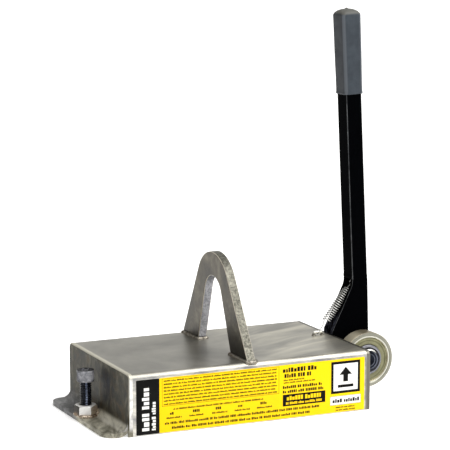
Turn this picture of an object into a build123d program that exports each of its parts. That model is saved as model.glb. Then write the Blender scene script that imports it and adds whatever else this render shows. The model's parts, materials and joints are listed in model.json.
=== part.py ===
from build123d import *
import math
import os

# A hand-released permanent lifting magnet. Millimetres, +Z up, +X towards the lever, -Y the label side.
# The origin is the centre of the magnet's bottom face, which meets the load at z = 0.

# Housing: a bent channel closed by two end plates
HOUSING_LENGTH = 288.0
HOUSING_WIDTH = 178.0
HOUSING_HEIGHT = 66.7
SHEET = 4.76
BEND_RADIUS = 6.0
CORNER_WELD_RADIUS = 1.5
END_X = HOUSING_LENGTH / 2
SIDE_Y = HOUSING_WIDTH / 2
ROOF_Z = HOUSING_HEIGHT - SHEET

# Toe flange, bent outwards from the foot of the far end plate
FLANGE_LENGTH = 25.6
FLANGE_WIDTH = 172.0
FLANGE_CORNER = 15.0
FLANGE_BEND = 10.0
FLANGE_BEND_TOP = 16.0

# Magnet core: pole shoes on the bottom face, magnet blocks over them, a steel yoke over those
CORE_LENGTH = 268.0
CORE_WIDTH = 158.0
YOKE_THICKNESS = 12.7
MAGNET_HEIGHT = 25.4
SPACER_WIDTH = 8.0
CENTRE_SHOE_WIDTH = 58.0
SIDE_SHOE_WIDTH = (CORE_WIDTH - CENTRE_SHOE_WIDTH) / 2 - SPACER_WIDTH
SIDE_SHOE_Y = CENTRE_SHOE_WIDTH / 2 + SPACER_WIDTH + SIDE_SHOE_WIDTH / 2
YOKE_Z = ROOF_Z - YOKE_THICKNESS
MAGNET_Z = YOKE_Z - MAGNET_HEIGHT
BLOCK_COUNT = 5
BLOCK_PITCH = CORE_LENGTH / BLOCK_COUNT
BLOCK_LENGTH = 44.0
BLOCK_SIDE_GAP = 2.0
CORE_SCREW_RADIUS = 4.0
CORE_SCREW_HEAD_RADIUS = 6.5
CORE_SCREW_HEAD_HEIGHT = 8.0
CORE_SCREW_END_Z = 12.0
POTTING_CLEARANCE = 0.1
POTTING_BASE_Z = 0.5

# Lifting eye: a plate across the middle of the housing, with two leaning legs and a round crown
EYE_THICKNESS = 10.0
EYE_X = -0.5
EYE_TILT = 1.3
EYE_OUTER_RADIUS = 43.8
EYE_OUTER_CENTRE_Z = 130.1
EYE_OUTER_LEAN = 30.0
EYE_INNER_RADIUS = 22.3
EYE_INNER_CENTRE_Z = 124.9
EYE_INNER_LEAN = 19.2
EYE_FOOT_DEPTH = 6.0
EYE_FOOT_END = 88.2
EYE_EDGE_RADIUS = 0.8
EYE_WELD_LEG = 5.0
EYE_WELD_SLOPE = 44
EYE_WELD_END = 88.8

# Jack screw at the toe: a half-inch socket screw in a heavy nut welded to the flange
JACK_X = -END_X - 14.4
JACK_RADIUS = 6.35
JACK_LENGTH = 38.1
JACK_HEAD_Z = 43.0
JACK_HEAD_RADIUS = 9.525
JACK_HEAD_HEIGHT = 12.7
JACK_HEAD_CHAMFER = 0.9
JACK_TIP_CHAMFER = 1.2
JACK_SOCKET_FLATS = 9.525
JACK_SOCKET_DEPTH = 6.4
JACK_HOLE_RADIUS = 7.0
NUT_FLATS = 22.2
NUT_HEIGHT = 12.3
NUT_TURN = -24.6
NUT_CROWN_DROP = 1.2
NUT_CROWN_INSET = 2.0
NUT_WELD_LEG = 3.6
NUT_WELD_SLOPE = 42
NUT_WELD_INSET = 0.6
THREAD_CLEARANCE = 0.05

# Release lever: a flat bar on a fork of two cheeks, which turns on a lug on the near end plate
LEVER_Y = 6.05
BAR_WIDTH = 19.3
BAR_DEPTH = 22.2
BAR_LEAN = 2.76
BAR_BASE_X = END_X + 31.2
BAR_BASE_Z = 130.0
BAR_LENGTH = 300.0
BAR_EDGE_RADIUS = 1.0
CHEEK_THICKNESS = 4.76
CHEEK_EDGE_RADIUS = 0.5
SLOT_WIDTH = BAR_DEPTH - 2 * CHEEK_THICKNESS
HEEL_X = END_X - 3.2
HEEL_GAP = 0.3
HEEL_TOP_Z = 72.3
THROAT = (END_X + 21.85, 123.9)
THROAT_RADIUS = 21.0
WALL_GAP = 0.8
CHEEK_SHOULDER = (END_X + 42.7, 70.0)
WEB_LEFT_X = END_X + 29.6
WEB_BASE_Z = 66.0
WELD_BAND = 5.0
WELD_PROUD = 0.6
WELD_EDGE_RADIUS = 0.5
GRIP_WALL = 2.5
GRIP_START = 212.0
GRIP_END = 308.8
GRIP_CORNER = 4.0
GRIP_TOP_RADIUS = 6.0
GRIP_CLEARANCE = 0.05

# Pivot: a pin pressed through the cheeks, turning in a bronze bush in the lug
PIVOT_X = END_X + 12.0
PIVOT_Z = 13.0
PIVOT_RADIUS = 6.35
HUB_RADIUS = PIVOT_X - END_X - WALL_GAP
BUSH_RADIUS = 8.0
LUG_THICKNESS = 11.8
LUG_RADIUS = 10.8
LUG_ROOT_TOP_Z = 46.0
LUG_ROOT_BASE_Z = 2.2
LUG_WELD_LEG = 4.0
RUNNING_CLEARANCE = 0.05
FIT_CLEARANCE = 0.02

# Rollers: sealed ball bearings on one axle through the cheeks, one each side of the fork
AXLE_X = END_X + 32.2
AXLE_Z = 39.3
AXLE_RADIUS = 12.7
AXLE_BOSS_RADIUS = 15.5
AXLE_END = 2.8
AXLE_CHAMFER = 1.4
ROLLER_RADIUS = 31.75
ROLLER_WIDTH = 19.0
ROLLER_CHAMFER = 1.3
OUTER_RING_BORE = 25.2
INNER_RING_RADIUS = 17.2
PITCH_RADIUS = 21.2
BALL_RADIUS = 5.4
BALL_COUNT = 9
RACE_CLEARANCE = 0.3
CAGE_THICKNESS = 3.0
CAGE_WIDTH = 13.0
SHIELD_RECESS = 1.2
SHIELD_THICKNESS = 0.8
SHIELD_GAP = 0.4
WASHER_THICKNESS = 0.8
WASHER_RADIUS = 16.5
CLIP_THICKNESS = 1.3
CLIP_RADIUS = 14.6
GROOVE_RADIUS = 11.9
GROOVE_WIDTH = 1.4
CLIP_GAP = 7.0
CLIP_LUG_RADIUS = 2.6
CLIP_LUG_OFFSET = 1.6
CLIP_HOLE_RADIUS = 0.9
CLIP_TURN = 35
ROLLER_START = BAR_DEPTH / 2 + WASHER_THICKNESS

# Return spring, from a staple on the roof to a cross pin in the fork
STAPLE_X = (END_X - 22.0, END_X - 11.5)
STAPLE_CROWN_Z = HOUSING_HEIGHT + 3.5
STAPLE_RADIUS = 1.5
STAPLE_BEND = 1.9
STAPLE_FOOT_RADIUS = 2.8
STAPLE_FOOT_HEIGHT = 1.2
SPRING_PIN = (END_X + 26.6, 125.0)
SPRING_PIN_RADIUS = 2.0
SPRING_FOOT = (END_X - 15.5, STAPLE_CROWN_Z)
SPRING_RADIUS = 5.05
SPRING_BORE = 3.8
SPRING_BODY_START = 15.0
SPRING_BODY_END = 8.0
SPRING_CAP = 1.0
SPRING_HOOK_RADIUS = 0.6
SPRING_HOOK_GAP = 1.2

# Labels on the front face
LABEL_LEFT = -END_X + 8.5
LABEL_RIGHT = END_X - 7.6
LABEL_SPLIT = -END_X + 34.9
LABEL_BASE_Z = 0.8
LABEL_TOP_Z = 60.2
LABEL_THICKNESS = 0.4


def slab_y(sketch, y_low, y_high):
    """A sketch drawn in X and Z, thickened from y_low to y_high."""
    return extrude(Plane.XZ.offset(-y_high) * sketch, amount=y_high - y_low)


def slab_x(sketch, x_low, x_high):
    """A sketch drawn in Y and Z, thickened from x_low to x_high."""
    return extrude(Plane.YZ.offset(x_low) * sketch, amount=x_high - x_low)


def rod_y(x, z, radius, y_low, y_high):
    """A round bar along Y."""
    return slab_y(Pos(x, z) * Circle(radius), y_low, y_high)


def box_between(low, high):
    """A block given by its lowest and highest corners."""
    size = [b - a for a, b in zip(low, high)]
    middle = [(a + b) / 2 for a, b in zip(low, high)]
    return Pos(*middle) * Box(*size)


def rounded_end(half_width, height, radius):
    """The housing's end outline: a rectangle standing on z = 0 with its two top corners rounded."""
    face = Pos(0, height / 2) * Rectangle(2 * half_width, height)
    return fillet(face.vertices().group_by(Axis.Y)[-1], radius)


# Housing

def housing_shell():
    outer = rounded_end(SIDE_Y, HOUSING_HEIGHT, BEND_RADIUS)
    inner = rounded_end(SIDE_Y - SHEET, ROOF_Z, BEND_RADIUS - SHEET)
    return slab_x(outer - inner, -END_X + SHEET, END_X - SHEET)


def end_wall(side):
    """An end wall whose outer edges are ground round along the corner welds."""
    outer = side * END_X
    inner = side * (END_X - SHEET)
    wall = slab_x(rounded_end(SIDE_Y, HOUSING_HEIGHT, BEND_RADIUS), min(inner, outer), max(inner, outer))
    face = wall.faces().filter_by(Axis.X).sort_by(lambda f: side * f.center().X)[-1]
    ground = [edge for edge in face.edges() if edge.center().Z > 0]
    return fillet(ground, CORNER_WELD_RADIUS)


def lever_end_plate():
    return end_wall(1)


def toe_end_plate():
    """The end wall and the toe flange, one bent sheet."""
    wall = end_wall(-1)
    edge_x = -END_X - FLANGE_LENGTH
    inner_x = -END_X + SHEET
    corner = (edge_x, -FLANGE_WIDTH / 2, -1)
    wall -= box_between(corner, (0, FLANGE_WIDTH / 2, FLANGE_BEND_TOP))
    profile = Polyline(
        (edge_x, 0), (inner_x, 0), (inner_x, FLANGE_BEND_TOP), (-END_X, FLANGE_BEND_TOP),
        (-END_X, SHEET), (edge_x, SHEET), close=True,
    )
    bent = make_face(profile)
    bent = fillet(bent.vertices().sort_by_distance((inner_x, 0))[0], FLANGE_BEND + SHEET)
    bent = fillet(bent.vertices().sort_by_distance((-END_X, SHEET))[0], FLANGE_BEND)
    flange = slab_y(bent, -FLANGE_WIDTH / 2, FLANGE_WIDTH / 2)
    corners = flange.edges().filter_by(Axis.Z).group_by(Axis.X)[0]
    flange = fillet(corners, FLANGE_CORNER)
    hole = Pos(JACK_X, 0, SHEET / 2) * Cylinder(JACK_HOLE_RADIUS, 3 * SHEET)
    return wall + flange - hole


# Magnet core

def shoe_rows():
    """Each pole shoe's middle and width along Y."""
    return [
        (-SIDE_SHOE_Y, SIDE_SHOE_WIDTH),
        (0.0, CENTRE_SHOE_WIDTH),
        (SIDE_SHOE_Y, SIDE_SHOE_WIDTH),
    ]


def core_screw_places():
    """The core screws stand in the gaps between the magnet blocks, a row over each pole shoe."""
    gaps = [(i - (BLOCK_COUNT - 2) / 2) * BLOCK_PITCH for i in range(BLOCK_COUNT - 1)]
    return [(x, y) for y, _ in shoe_rows() for x in gaps]


def pole_shoes():
    shoes = []
    for y, width in shoe_rows():
        low = (-CORE_LENGTH / 2, y - width / 2, 0)
        high = (CORE_LENGTH / 2, y + width / 2, MAGNET_Z)
        shoe = box_between(low, high)
        for x, screw_y in core_screw_places():
            if screw_y == y:
                shoe -= screw_hole(x, y, CORE_SCREW_RADIUS, CORE_SCREW_END_Z, MAGNET_Z)
        shoes.append(shoe)
    return shoes


def screw_hole(x, y, radius, z_low, z_high):
    return Pos(x, y, (z_low + z_high) / 2) * Cylinder(radius + FIT_CLEARANCE, z_high - z_low)


def pole_spacers():
    spacers = []
    for side in (-1, 1):
        y = side * (CENTRE_SHOE_WIDTH + SPACER_WIDTH) / 2
        low = (-CORE_LENGTH / 2, y - SPACER_WIDTH / 2, 0)
        high = (CORE_LENGTH / 2, y + SPACER_WIDTH / 2, MAGNET_Z)
        spacers.append(box_between(low, high))
    return spacers


def magnet_blocks():
    blocks = []
    for y, width in shoe_rows():
        block = Box(BLOCK_LENGTH, width - BLOCK_SIDE_GAP, MAGNET_HEIGHT)
        for i in range(BLOCK_COUNT):
            x = (i - (BLOCK_COUNT - 1) / 2) * BLOCK_PITCH
            blocks.append(Pos(x, y, MAGNET_Z + MAGNET_HEIGHT / 2) * block)
    return blocks


def yoke_plate():
    low = (-CORE_LENGTH / 2, -CORE_WIDTH / 2, YOKE_Z)
    yoke = box_between(low, (CORE_LENGTH / 2, CORE_WIDTH / 2, ROOF_Z))
    for x, y in core_screw_places():
        yoke -= screw_hole(x, y, CORE_SCREW_RADIUS, YOKE_Z, ROOF_Z)
        yoke -= screw_hole(x, y, CORE_SCREW_HEAD_RADIUS, ROOF_Z - CORE_SCREW_HEAD_HEIGHT, ROOF_Z)
    return yoke


def core_screws():
    head_z = ROOF_Z - CORE_SCREW_HEAD_HEIGHT
    shank_length = head_z - CORE_SCREW_END_Z
    shank = Pos(0, 0, head_z - shank_length / 2) * Cylinder(CORE_SCREW_RADIUS, shank_length)
    head_height = CORE_SCREW_HEAD_HEIGHT - FIT_CLEARANCE
    head = Pos(0, 0, head_z + head_height / 2) * Cylinder(CORE_SCREW_HEAD_RADIUS, head_height)
    screw = shank + head
    return [Pos(x, y, 0) * screw for x, y in core_screw_places()]


def potting_ring():
    """Potting resin that fills the gap round the core, inside the housing's walls."""
    outer_x = END_X - SHEET - POTTING_CLEARANCE
    outer_y = SIDE_Y - SHEET - POTTING_CLEARANCE
    filled = box_between((-outer_x, -outer_y, POTTING_BASE_Z), (outer_x, outer_y, YOKE_Z))
    return filled - Box(CORE_LENGTH, CORE_WIDTH, 3 * HOUSING_HEIGHT)


# Lifting eye

def leg_reach(radius, centre_z, lean, height):
    """How far out a leg's straight edge is at a height."""
    slope = math.radians(lean)
    tangent_z = centre_z + radius * math.sin(slope)
    return radius * math.cos(slope) + (tangent_z - height) * math.tan(slope)


def leaning_arch(radius, centre_z, lean):
    """An arch from below the roof up: a round crown with a straight leg tangent to it on each side."""
    tangent_y = radius * math.cos(math.radians(lean))
    tangent_z = centre_z + radius * math.sin(math.radians(lean))
    base_z = HOUSING_HEIGHT - EYE_FOOT_DEPTH
    foot_y = leg_reach(radius, centre_z, lean, base_z)
    left, right = (-tangent_y, tangent_z), (tangent_y, tangent_z)
    outline = [
        Line((-foot_y, base_z), left),
        ThreePointArc(left, (0, centre_z + radius), right),
        Line(right, (foot_y, base_z)),
        Line((foot_y, base_z), (-foot_y, base_z)),
    ]
    return make_face(outline)


def housing_block():
    """The housing's outside as one solid."""
    return slab_x(rounded_end(SIDE_Y, HOUSING_HEIGHT, BEND_RADIUS), -END_X, END_X)


def lifting_eye():
    """The plate leans a little towards the toe, and its feet follow the housing's bends."""
    outer = leaning_arch(EYE_OUTER_RADIUS, EYE_OUTER_CENTRE_Z, EYE_OUTER_LEAN)
    inner = leaning_arch(EYE_INNER_RADIUS, EYE_INNER_CENTRE_Z, EYE_INNER_LEAN)
    eye = slab_x(outer - inner, -EYE_THICKNESS / 2, EYE_THICKNESS / 2)
    faces = [edge for side in (0, -1) for edge in eye.faces().sort_by(Axis.X)[side].edges()]
    eye = fillet([edge for edge in faces if edge.center().Z > HOUSING_HEIGHT], EYE_EDGE_RADIUS)
    tilted = Pos(EYE_X, 0, HOUSING_HEIGHT) * Rot(0, -EYE_TILT, 0) * Pos(0, 0, -HOUSING_HEIGHT) * eye
    limits = box_between((-END_X, -EYE_FOOT_END, 0), (END_X, EYE_FOOT_END, 4 * HOUSING_HEIGHT))
    return (tilted & limits) - housing_block()


def eye_weld_beads():
    """A fillet weld right round each foot of the eye, following the housing's bend at its outer end."""
    outer_y = leg_reach(EYE_OUTER_RADIUS, EYE_OUTER_CENTRE_Z, EYE_OUTER_LEAN, HOUSING_HEIGHT)
    inner_y = leg_reach(EYE_INNER_RADIUS, EYE_INNER_CENTRE_Z, EYE_INNER_LEAN, HOUSING_HEIGHT)
    length = outer_y - inner_y + 2 * EYE_WELD_LEG
    width = EYE_THICKNESS + 2 * EYE_WELD_LEG
    base = extrude(Rectangle(width, length), amount=-EYE_WELD_LEG)
    ring = extrude(Rectangle(width, length), amount=EYE_WELD_LEG, taper=EYE_WELD_SLOPE) + base
    limits = box_between((-END_X, -EYE_WELD_END, 0), (END_X, EYE_WELD_END, 2 * HOUSING_HEIGHT))
    cut = housing_block() + lifting_eye()
    beads = []
    for side in (-1, 1):
        placed = Pos(EYE_X, side * (outer_y + inner_y) / 2, HOUSING_HEIGHT) * ring
        beads.append((placed & limits) - cut)
    return beads


# Jack screw and its nut

def jack_nut():
    hexagon = RegularPolygon(NUT_FLATS / 2, 6, major_radius=False)
    nut = extrude(hexagon, amount=NUT_HEIGHT)
    corner_radius = NUT_FLATS / math.sqrt(3)
    crown = Pos(0, 0, NUT_HEIGHT / 2) * Cylinder(corner_radius, NUT_HEIGHT)
    crown = chamfer(crown.edges().group_by(Axis.Z)[-1], NUT_CROWN_DROP, NUT_CROWN_INSET)
    bore = Pos(0, 0, NUT_HEIGHT / 2) * Cylinder(JACK_RADIUS + THREAD_CLEARANCE, 2 * NUT_HEIGHT)
    placed = Pos(JACK_X, 0, SHEET) * Rot(0, 0, NUT_TURN) * ((nut & crown) - bore)
    return placed - toe_end_plate()


def jack_nut_weld():
    """A fillet weld round the nut, as far as the flange reaches."""
    hexagon = RegularPolygon(NUT_FLATS / 2 + NUT_WELD_LEG, 6, major_radius=False)
    nut = extrude(RegularPolygon(NUT_FLATS / 2, 6, major_radius=False), amount=NUT_HEIGHT)
    bead = extrude(hexagon, amount=NUT_WELD_LEG, taper=NUT_WELD_SLOPE) - nut
    placed = Pos(JACK_X, 0, SHEET) * Rot(0, 0, NUT_TURN) * bead
    low = (-END_X - FLANGE_LENGTH + NUT_WELD_INSET, -SIDE_Y, SHEET)
    limits = box_between(low, (-END_X, SIDE_Y, HOUSING_HEIGHT))
    return (placed & limits) - toe_end_plate()


def jack_screw():
    head = Pos(0, 0, JACK_HEAD_Z + JACK_HEAD_HEIGHT / 2) * Cylinder(JACK_HEAD_RADIUS, JACK_HEAD_HEIGHT)
    head = chamfer(head.edges().group_by(Axis.Z)[-1], JACK_HEAD_CHAMFER)
    shank = Pos(0, 0, JACK_HEAD_Z - JACK_LENGTH / 2) * Cylinder(JACK_RADIUS, JACK_LENGTH)
    shank = chamfer(shank.edges().group_by(Axis.Z)[0], JACK_TIP_CHAMFER)
    socket = extrude(RegularPolygon(JACK_SOCKET_FLATS / 2, 6, major_radius=False), amount=JACK_SOCKET_DEPTH)
    socket_z = JACK_HEAD_Z + JACK_HEAD_HEIGHT - JACK_SOCKET_DEPTH
    return Pos(JACK_X, 0, 0) * (head + shank - Pos(0, 0, socket_z) * socket)


# Pivot

def pivot_lug():
    """A gusset on the end plate, with a round nose for the bush."""
    y_low, y_high = LEVER_Y - LUG_THICKNESS / 2, LEVER_Y + LUG_THICKNESS / 2
    root_top = Line((END_X, LUG_ROOT_TOP_Z), (PIVOT_X, PIVOT_Z + LUG_RADIUS))
    gusset = make_face(
        Polyline(
            (END_X, LUG_ROOT_BASE_Z), root_top @ 0, root_top @ 1, (PIVOT_X, LUG_ROOT_BASE_Z), close=True
        )
    )
    nose = Pos(PIVOT_X, PIVOT_Z) * Circle(LUG_RADIUS)
    hole = Pos(PIVOT_X, PIVOT_Z) * Circle(BUSH_RADIUS + FIT_CLEARANCE)
    return slab_y(gusset + nose - hole, y_low, y_high)


def lug_weld():
    """A bead along the top of the lug's root, as wide as the lug."""
    y_low, y_high = LEVER_Y - LUG_THICKNESS / 2, LEVER_Y + LUG_THICKNESS / 2
    top = LUG_ROOT_TOP_Z
    leg = LUG_WELD_LEG
    bead = make_face(Polyline((END_X, top), (END_X, top + leg), (END_X + leg / 2, top), close=True))
    root = Pos(END_X + leg / 4, top - leg / 2) * Rectangle(leg / 2, leg)
    return slab_y(bead + root, y_low, y_high) - pivot_lug()


def pivot_bush():
    y_low, y_high = LEVER_Y - LUG_THICKNESS / 2, LEVER_Y + LUG_THICKNESS / 2
    outer = rod_y(PIVOT_X, PIVOT_Z, BUSH_RADIUS, y_low, y_high)
    return outer - rod_y(PIVOT_X, PIVOT_Z, PIVOT_RADIUS + RUNNING_CLEARANCE, y_low, y_high)


def pivot_pin():
    return rod_y(PIVOT_X, PIVOT_Z, PIVOT_RADIUS, LEVER_Y - BAR_DEPTH / 2, LEVER_Y + BAR_DEPTH / 2)


# Lever

def bar_frame(distance=0.0):
    """The bar's own frame, whose Z runs up the bar, moved up it by a distance."""
    base = Location((BAR_BASE_X, LEVER_Y, BAR_BASE_Z), (0, -BAR_LEAN, 0))
    return base * Pos(0, 0, distance)


def bar_corner(across):
    """Where the bar's lower end lies, in X and Z, at a distance across it."""
    point = (bar_frame() * Pos(across, 0, 0)).position
    return (point.X, point.Z)


def lever_bar():
    bar = Pos(0, 0, BAR_LENGTH / 2) * Box(BAR_WIDTH, BAR_DEPTH, BAR_LENGTH)
    bar = fillet(bar.edges().filter_by(Axis.Z), BAR_EDGE_RADIUS)
    return bar_frame() * bar


def cheek_outline():
    """Hub round the pivot and boss round the axle, under a flared plate whose heel rests over the roof."""
    hub = Pos(PIVOT_X, PIVOT_Z) * Circle(HUB_RADIUS)
    boss = Pos(AXLE_X, AXLE_Z) * Circle(AXLE_BOSS_RADIUS)
    foot = make_hull(hub.edges() + boss.edges())
    heel_z = HOUSING_HEIGHT + HEEL_GAP
    plate = make_face(
        Polyline(
            (PIVOT_X - HUB_RADIUS, PIVOT_Z),
            (PIVOT_X - HUB_RADIUS, heel_z),
            (HEEL_X, heel_z),
            (HEEL_X, HEEL_TOP_Z),
            THROAT,
            bar_corner(-BAR_WIDTH / 2),
            bar_corner(BAR_WIDTH / 2),
            CHEEK_SHOULDER,
            (AXLE_X + AXLE_BOSS_RADIUS, AXLE_Z),
            (AXLE_X, AXLE_Z),
            (PIVOT_X, PIVOT_Z),
            close=True,
        )
    )
    plate = fillet(plate.vertices().sort_by_distance(THROAT)[0], THROAT_RADIUS)
    holes = Pos(PIVOT_X, PIVOT_Z) * Circle(PIVOT_RADIUS + FIT_CLEARANCE)
    holes += Pos(AXLE_X, AXLE_Z) * Circle(AXLE_RADIUS + FIT_CLEARANCE)
    holes += Pos(*SPRING_PIN) * Circle(SPRING_PIN_RADIUS + FIT_CLEARANCE)
    return foot + plate - holes


def cheek(side):
    """One side of the fork, with the long slanting edge of its outer face eased."""
    outer = LEVER_Y + side * BAR_DEPTH / 2
    inner = LEVER_Y + side * SLOT_WIDTH / 2
    plate = slab_y(cheek_outline(), min(inner, outer), max(inner, outer))
    rim = plate.faces().filter_by(Axis.Y).sort_by(lambda face: abs(face.center().Y - outer))[0].edges()
    middle = Vector((HEEL_X + THROAT[0]) / 2, outer, (HEEL_TOP_Z + THROAT[1]) / 2)
    slant = rim.sort_by_distance(middle)[0]
    return fillet(slant, CHEEK_EDGE_RADIUS)


def fork_web():
    """The block between the cheeks on the side away from the housing."""
    top_right = bar_corner(BAR_WIDTH / 2)
    top_left = bar_corner(WEB_LEFT_X - BAR_BASE_X)
    slope = (top_right[0] - CHEEK_SHOULDER[0]) / (top_right[1] - CHEEK_SHOULDER[1])
    base_right = CHEEK_SHOULDER[0] + (WEB_BASE_Z - CHEEK_SHOULDER[1]) * slope
    outline = Polyline(
        (WEB_LEFT_X, WEB_BASE_Z), top_left, top_right, (base_right, WEB_BASE_Z), close=True
    )
    return slab_y(make_face(outline), LEVER_Y - SLOT_WIDTH / 2, LEVER_Y + SLOT_WIDTH / 2)


def lever_weld():
    """The weld band round the bar's foot, a little proud of the bar on every side."""
    band = Box(BAR_WIDTH + 2 * WELD_PROUD, BAR_DEPTH + 2 * WELD_PROUD, WELD_BAND)
    band = fillet(band.edges(), WELD_EDGE_RADIUS)
    core = fillet(Box(BAR_WIDTH, BAR_DEPTH, 2 * WELD_BAND).edges().filter_by(Axis.Z), BAR_EDGE_RADIUS)
    return bar_frame(WELD_BAND / 2) * (band - core)


def lever_grip():
    """A dipped sleeve, closed and rounded at the top."""
    length = GRIP_END - GRIP_START
    sleeve = Pos(0, 0, length / 2) * Box(BAR_WIDTH + 2 * GRIP_WALL, BAR_DEPTH + 2 * GRIP_WALL, length)
    sleeve = fillet(sleeve.edges().filter_by(Axis.Z), GRIP_CORNER)
    sleeve = fillet(sleeve.faces().sort_by(Axis.Z)[-1].edges(), GRIP_TOP_RADIUS)
    depth = BAR_LENGTH - GRIP_START + GRIP_CLEARANCE
    bore = Box(BAR_WIDTH + 2 * GRIP_CLEARANCE, BAR_DEPTH + 2 * GRIP_CLEARANCE, depth)
    return bar_frame(GRIP_START) * (sleeve - Pos(0, 0, depth / 2) * bore)


# Rollers: side -1 is the front, +1 the rear

def across(side, near, far):
    """Lowest and highest Y of a stretch given outwards from the fork's middle."""
    ends = (LEVER_Y + side * near, LEVER_Y + side * far)
    return min(ends), max(ends)


def axle_rod(radius, side, near, far):
    return rod_y(AXLE_X, AXLE_Z, radius, *across(side, near, far))


def race_groove(side):
    """The ring of space that the balls run in, with its clearance."""
    middle = LEVER_Y + side * (ROLLER_START + ROLLER_WIDTH / 2)
    frame = Plane((AXLE_X, middle, AXLE_Z), x_dir=(1, 0, 0), z_dir=(0, 1, 0))
    return frame * Torus(PITCH_RADIUS, BALL_RADIUS + RACE_CLEARANCE)


def roller_ring(side):
    far = ROLLER_START + ROLLER_WIDTH
    ring = axle_rod(ROLLER_RADIUS, side, ROLLER_START, far)
    ring = chamfer(ring.edges().filter_by(GeomType.CIRCLE), ROLLER_CHAMFER)
    return ring - axle_rod(OUTER_RING_BORE, side, ROLLER_START, far) - race_groove(side)


def inner_ring(side):
    far = ROLLER_START + ROLLER_WIDTH
    ring = axle_rod(INNER_RING_RADIUS, side, ROLLER_START, far)
    ring = chamfer(ring.edges().filter_by(GeomType.CIRCLE), SHIELD_GAP)
    return ring - axle_rod(AXLE_RADIUS + FIT_CLEARANCE, side, ROLLER_START, far) - race_groove(side)


def roller_shields(side):
    far = ROLLER_START + ROLLER_WIDTH
    shields = []
    for near in (ROLLER_START + SHIELD_RECESS, far - SHIELD_RECESS - SHIELD_THICKNESS):
        disc = axle_rod(OUTER_RING_BORE, side, near, near + SHIELD_THICKNESS)
        hole = axle_rod(INNER_RING_RADIUS + SHIELD_GAP, side, near, near + SHIELD_THICKNESS)
        shields.append(disc - hole)
    return shields


def ball_places(side):
    """The middle of each ball of one bearing."""
    y = LEVER_Y + side * (ROLLER_START + ROLLER_WIDTH / 2)
    places = []
    for i in range(BALL_COUNT):
        turn = 2 * math.pi * i / BALL_COUNT
        x = AXLE_X + PITCH_RADIUS * math.cos(turn)
        z = AXLE_Z + PITCH_RADIUS * math.sin(turn)
        places.append((x, y, z))
    return places


def bearing_balls(side):
    return [Pos(*place) * Sphere(BALL_RADIUS) for place in ball_places(side)]


def ball_cage(side):
    near = ROLLER_START + (ROLLER_WIDTH - CAGE_WIDTH) / 2
    far = near + CAGE_WIDTH
    cage = axle_rod(PITCH_RADIUS + CAGE_THICKNESS / 2, side, near, far)
    cage -= axle_rod(PITCH_RADIUS - CAGE_THICKNESS / 2, side, near, far)
    middle = Vector(AXLE_X, LEVER_Y + side * (ROLLER_START + ROLLER_WIDTH / 2), AXLE_Z)
    for place in ball_places(side):
        outwards = Vector(*place) - middle
        pocket = Cylinder(BALL_RADIUS + FIT_CLEARANCE, BALL_RADIUS)
        cage -= Plane(middle + outwards, z_dir=outwards) * pocket
    return cage


def spacer_washers():
    washers = []
    for side in (-1, 1):
        disc = axle_rod(WASHER_RADIUS, side, BAR_DEPTH / 2, ROLLER_START)
        hole = axle_rod(AXLE_RADIUS + FIT_CLEARANCE, side, BAR_DEPTH / 2, ROLLER_START)
        washers.append(disc - hole)
    return washers


def roller_axle():
    end = ROLLER_START + ROLLER_WIDTH + AXLE_END
    axle = rod_y(AXLE_X, AXLE_Z, AXLE_RADIUS, LEVER_Y - end, LEVER_Y + end)
    axle = chamfer(axle.edges().filter_by(GeomType.CIRCLE), AXLE_CHAMFER)
    groove = ROLLER_START + ROLLER_WIDTH
    for side in (-1, 1):
        ring = axle_rod(AXLE_RADIUS + 1, side, groove, groove + GROOVE_WIDTH)
        axle -= ring - axle_rod(GROOVE_RADIUS, side, groove, groove + GROOVE_WIDTH)
    return axle


def axle_clips():
    """External circlips: an open ring with a drilled ear at each end of its gap."""
    ring = Circle(CLIP_RADIUS) - Circle(GROOVE_RADIUS + FIT_CLEARANCE)
    ring -= Pos(-CLIP_RADIUS, 0) * Rectangle(2 * CLIP_RADIUS, CLIP_GAP)
    ear_x = -math.sqrt(CLIP_RADIUS**2 - CLIP_GAP**2 / 4)
    for turn in (-1, 1):
        ear = Pos(ear_x, turn * (CLIP_GAP / 2 + CLIP_LUG_OFFSET))
        ring += ear * Circle(CLIP_LUG_RADIUS) - Circle(AXLE_RADIUS + 2 * FIT_CLEARANCE)
        ring -= ear * Circle(CLIP_HOLE_RADIUS)
    near = ROLLER_START + ROLLER_WIDTH
    placed = Pos(AXLE_X, AXLE_Z) * Rot(0, 0, CLIP_TURN) * ring
    return [slab_y(placed, *across(side, near, near + CLIP_THICKNESS)) for side in (-1, 1)]


# Return spring

def spring_pin():
    return rod_y(*SPRING_PIN, SPRING_PIN_RADIUS, LEVER_Y - BAR_DEPTH / 2, LEVER_Y + BAR_DEPTH / 2)


def spring_staple():
    left, right = STAPLE_X
    base, crown = HOUSING_HEIGHT, STAPLE_CROWN_Z
    points = [(left, base), (left, crown), (right, crown), (right, base)]
    path = FilletPolyline(*[(x, LEVER_Y, z) for x, z in points], radius=STAPLE_BEND)
    staple = sweep(Plane(path @ 0, z_dir=path % 0) * Circle(STAPLE_RADIUS), path=path)
    for x in STAPLE_X:
        foot = Cone(STAPLE_FOOT_RADIUS, STAPLE_RADIUS, STAPLE_FOOT_HEIGHT)
        staple += Pos(x, LEVER_Y, HOUSING_HEIGHT + STAPLE_FOOT_HEIGHT / 2) * foot
    return staple


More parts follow.
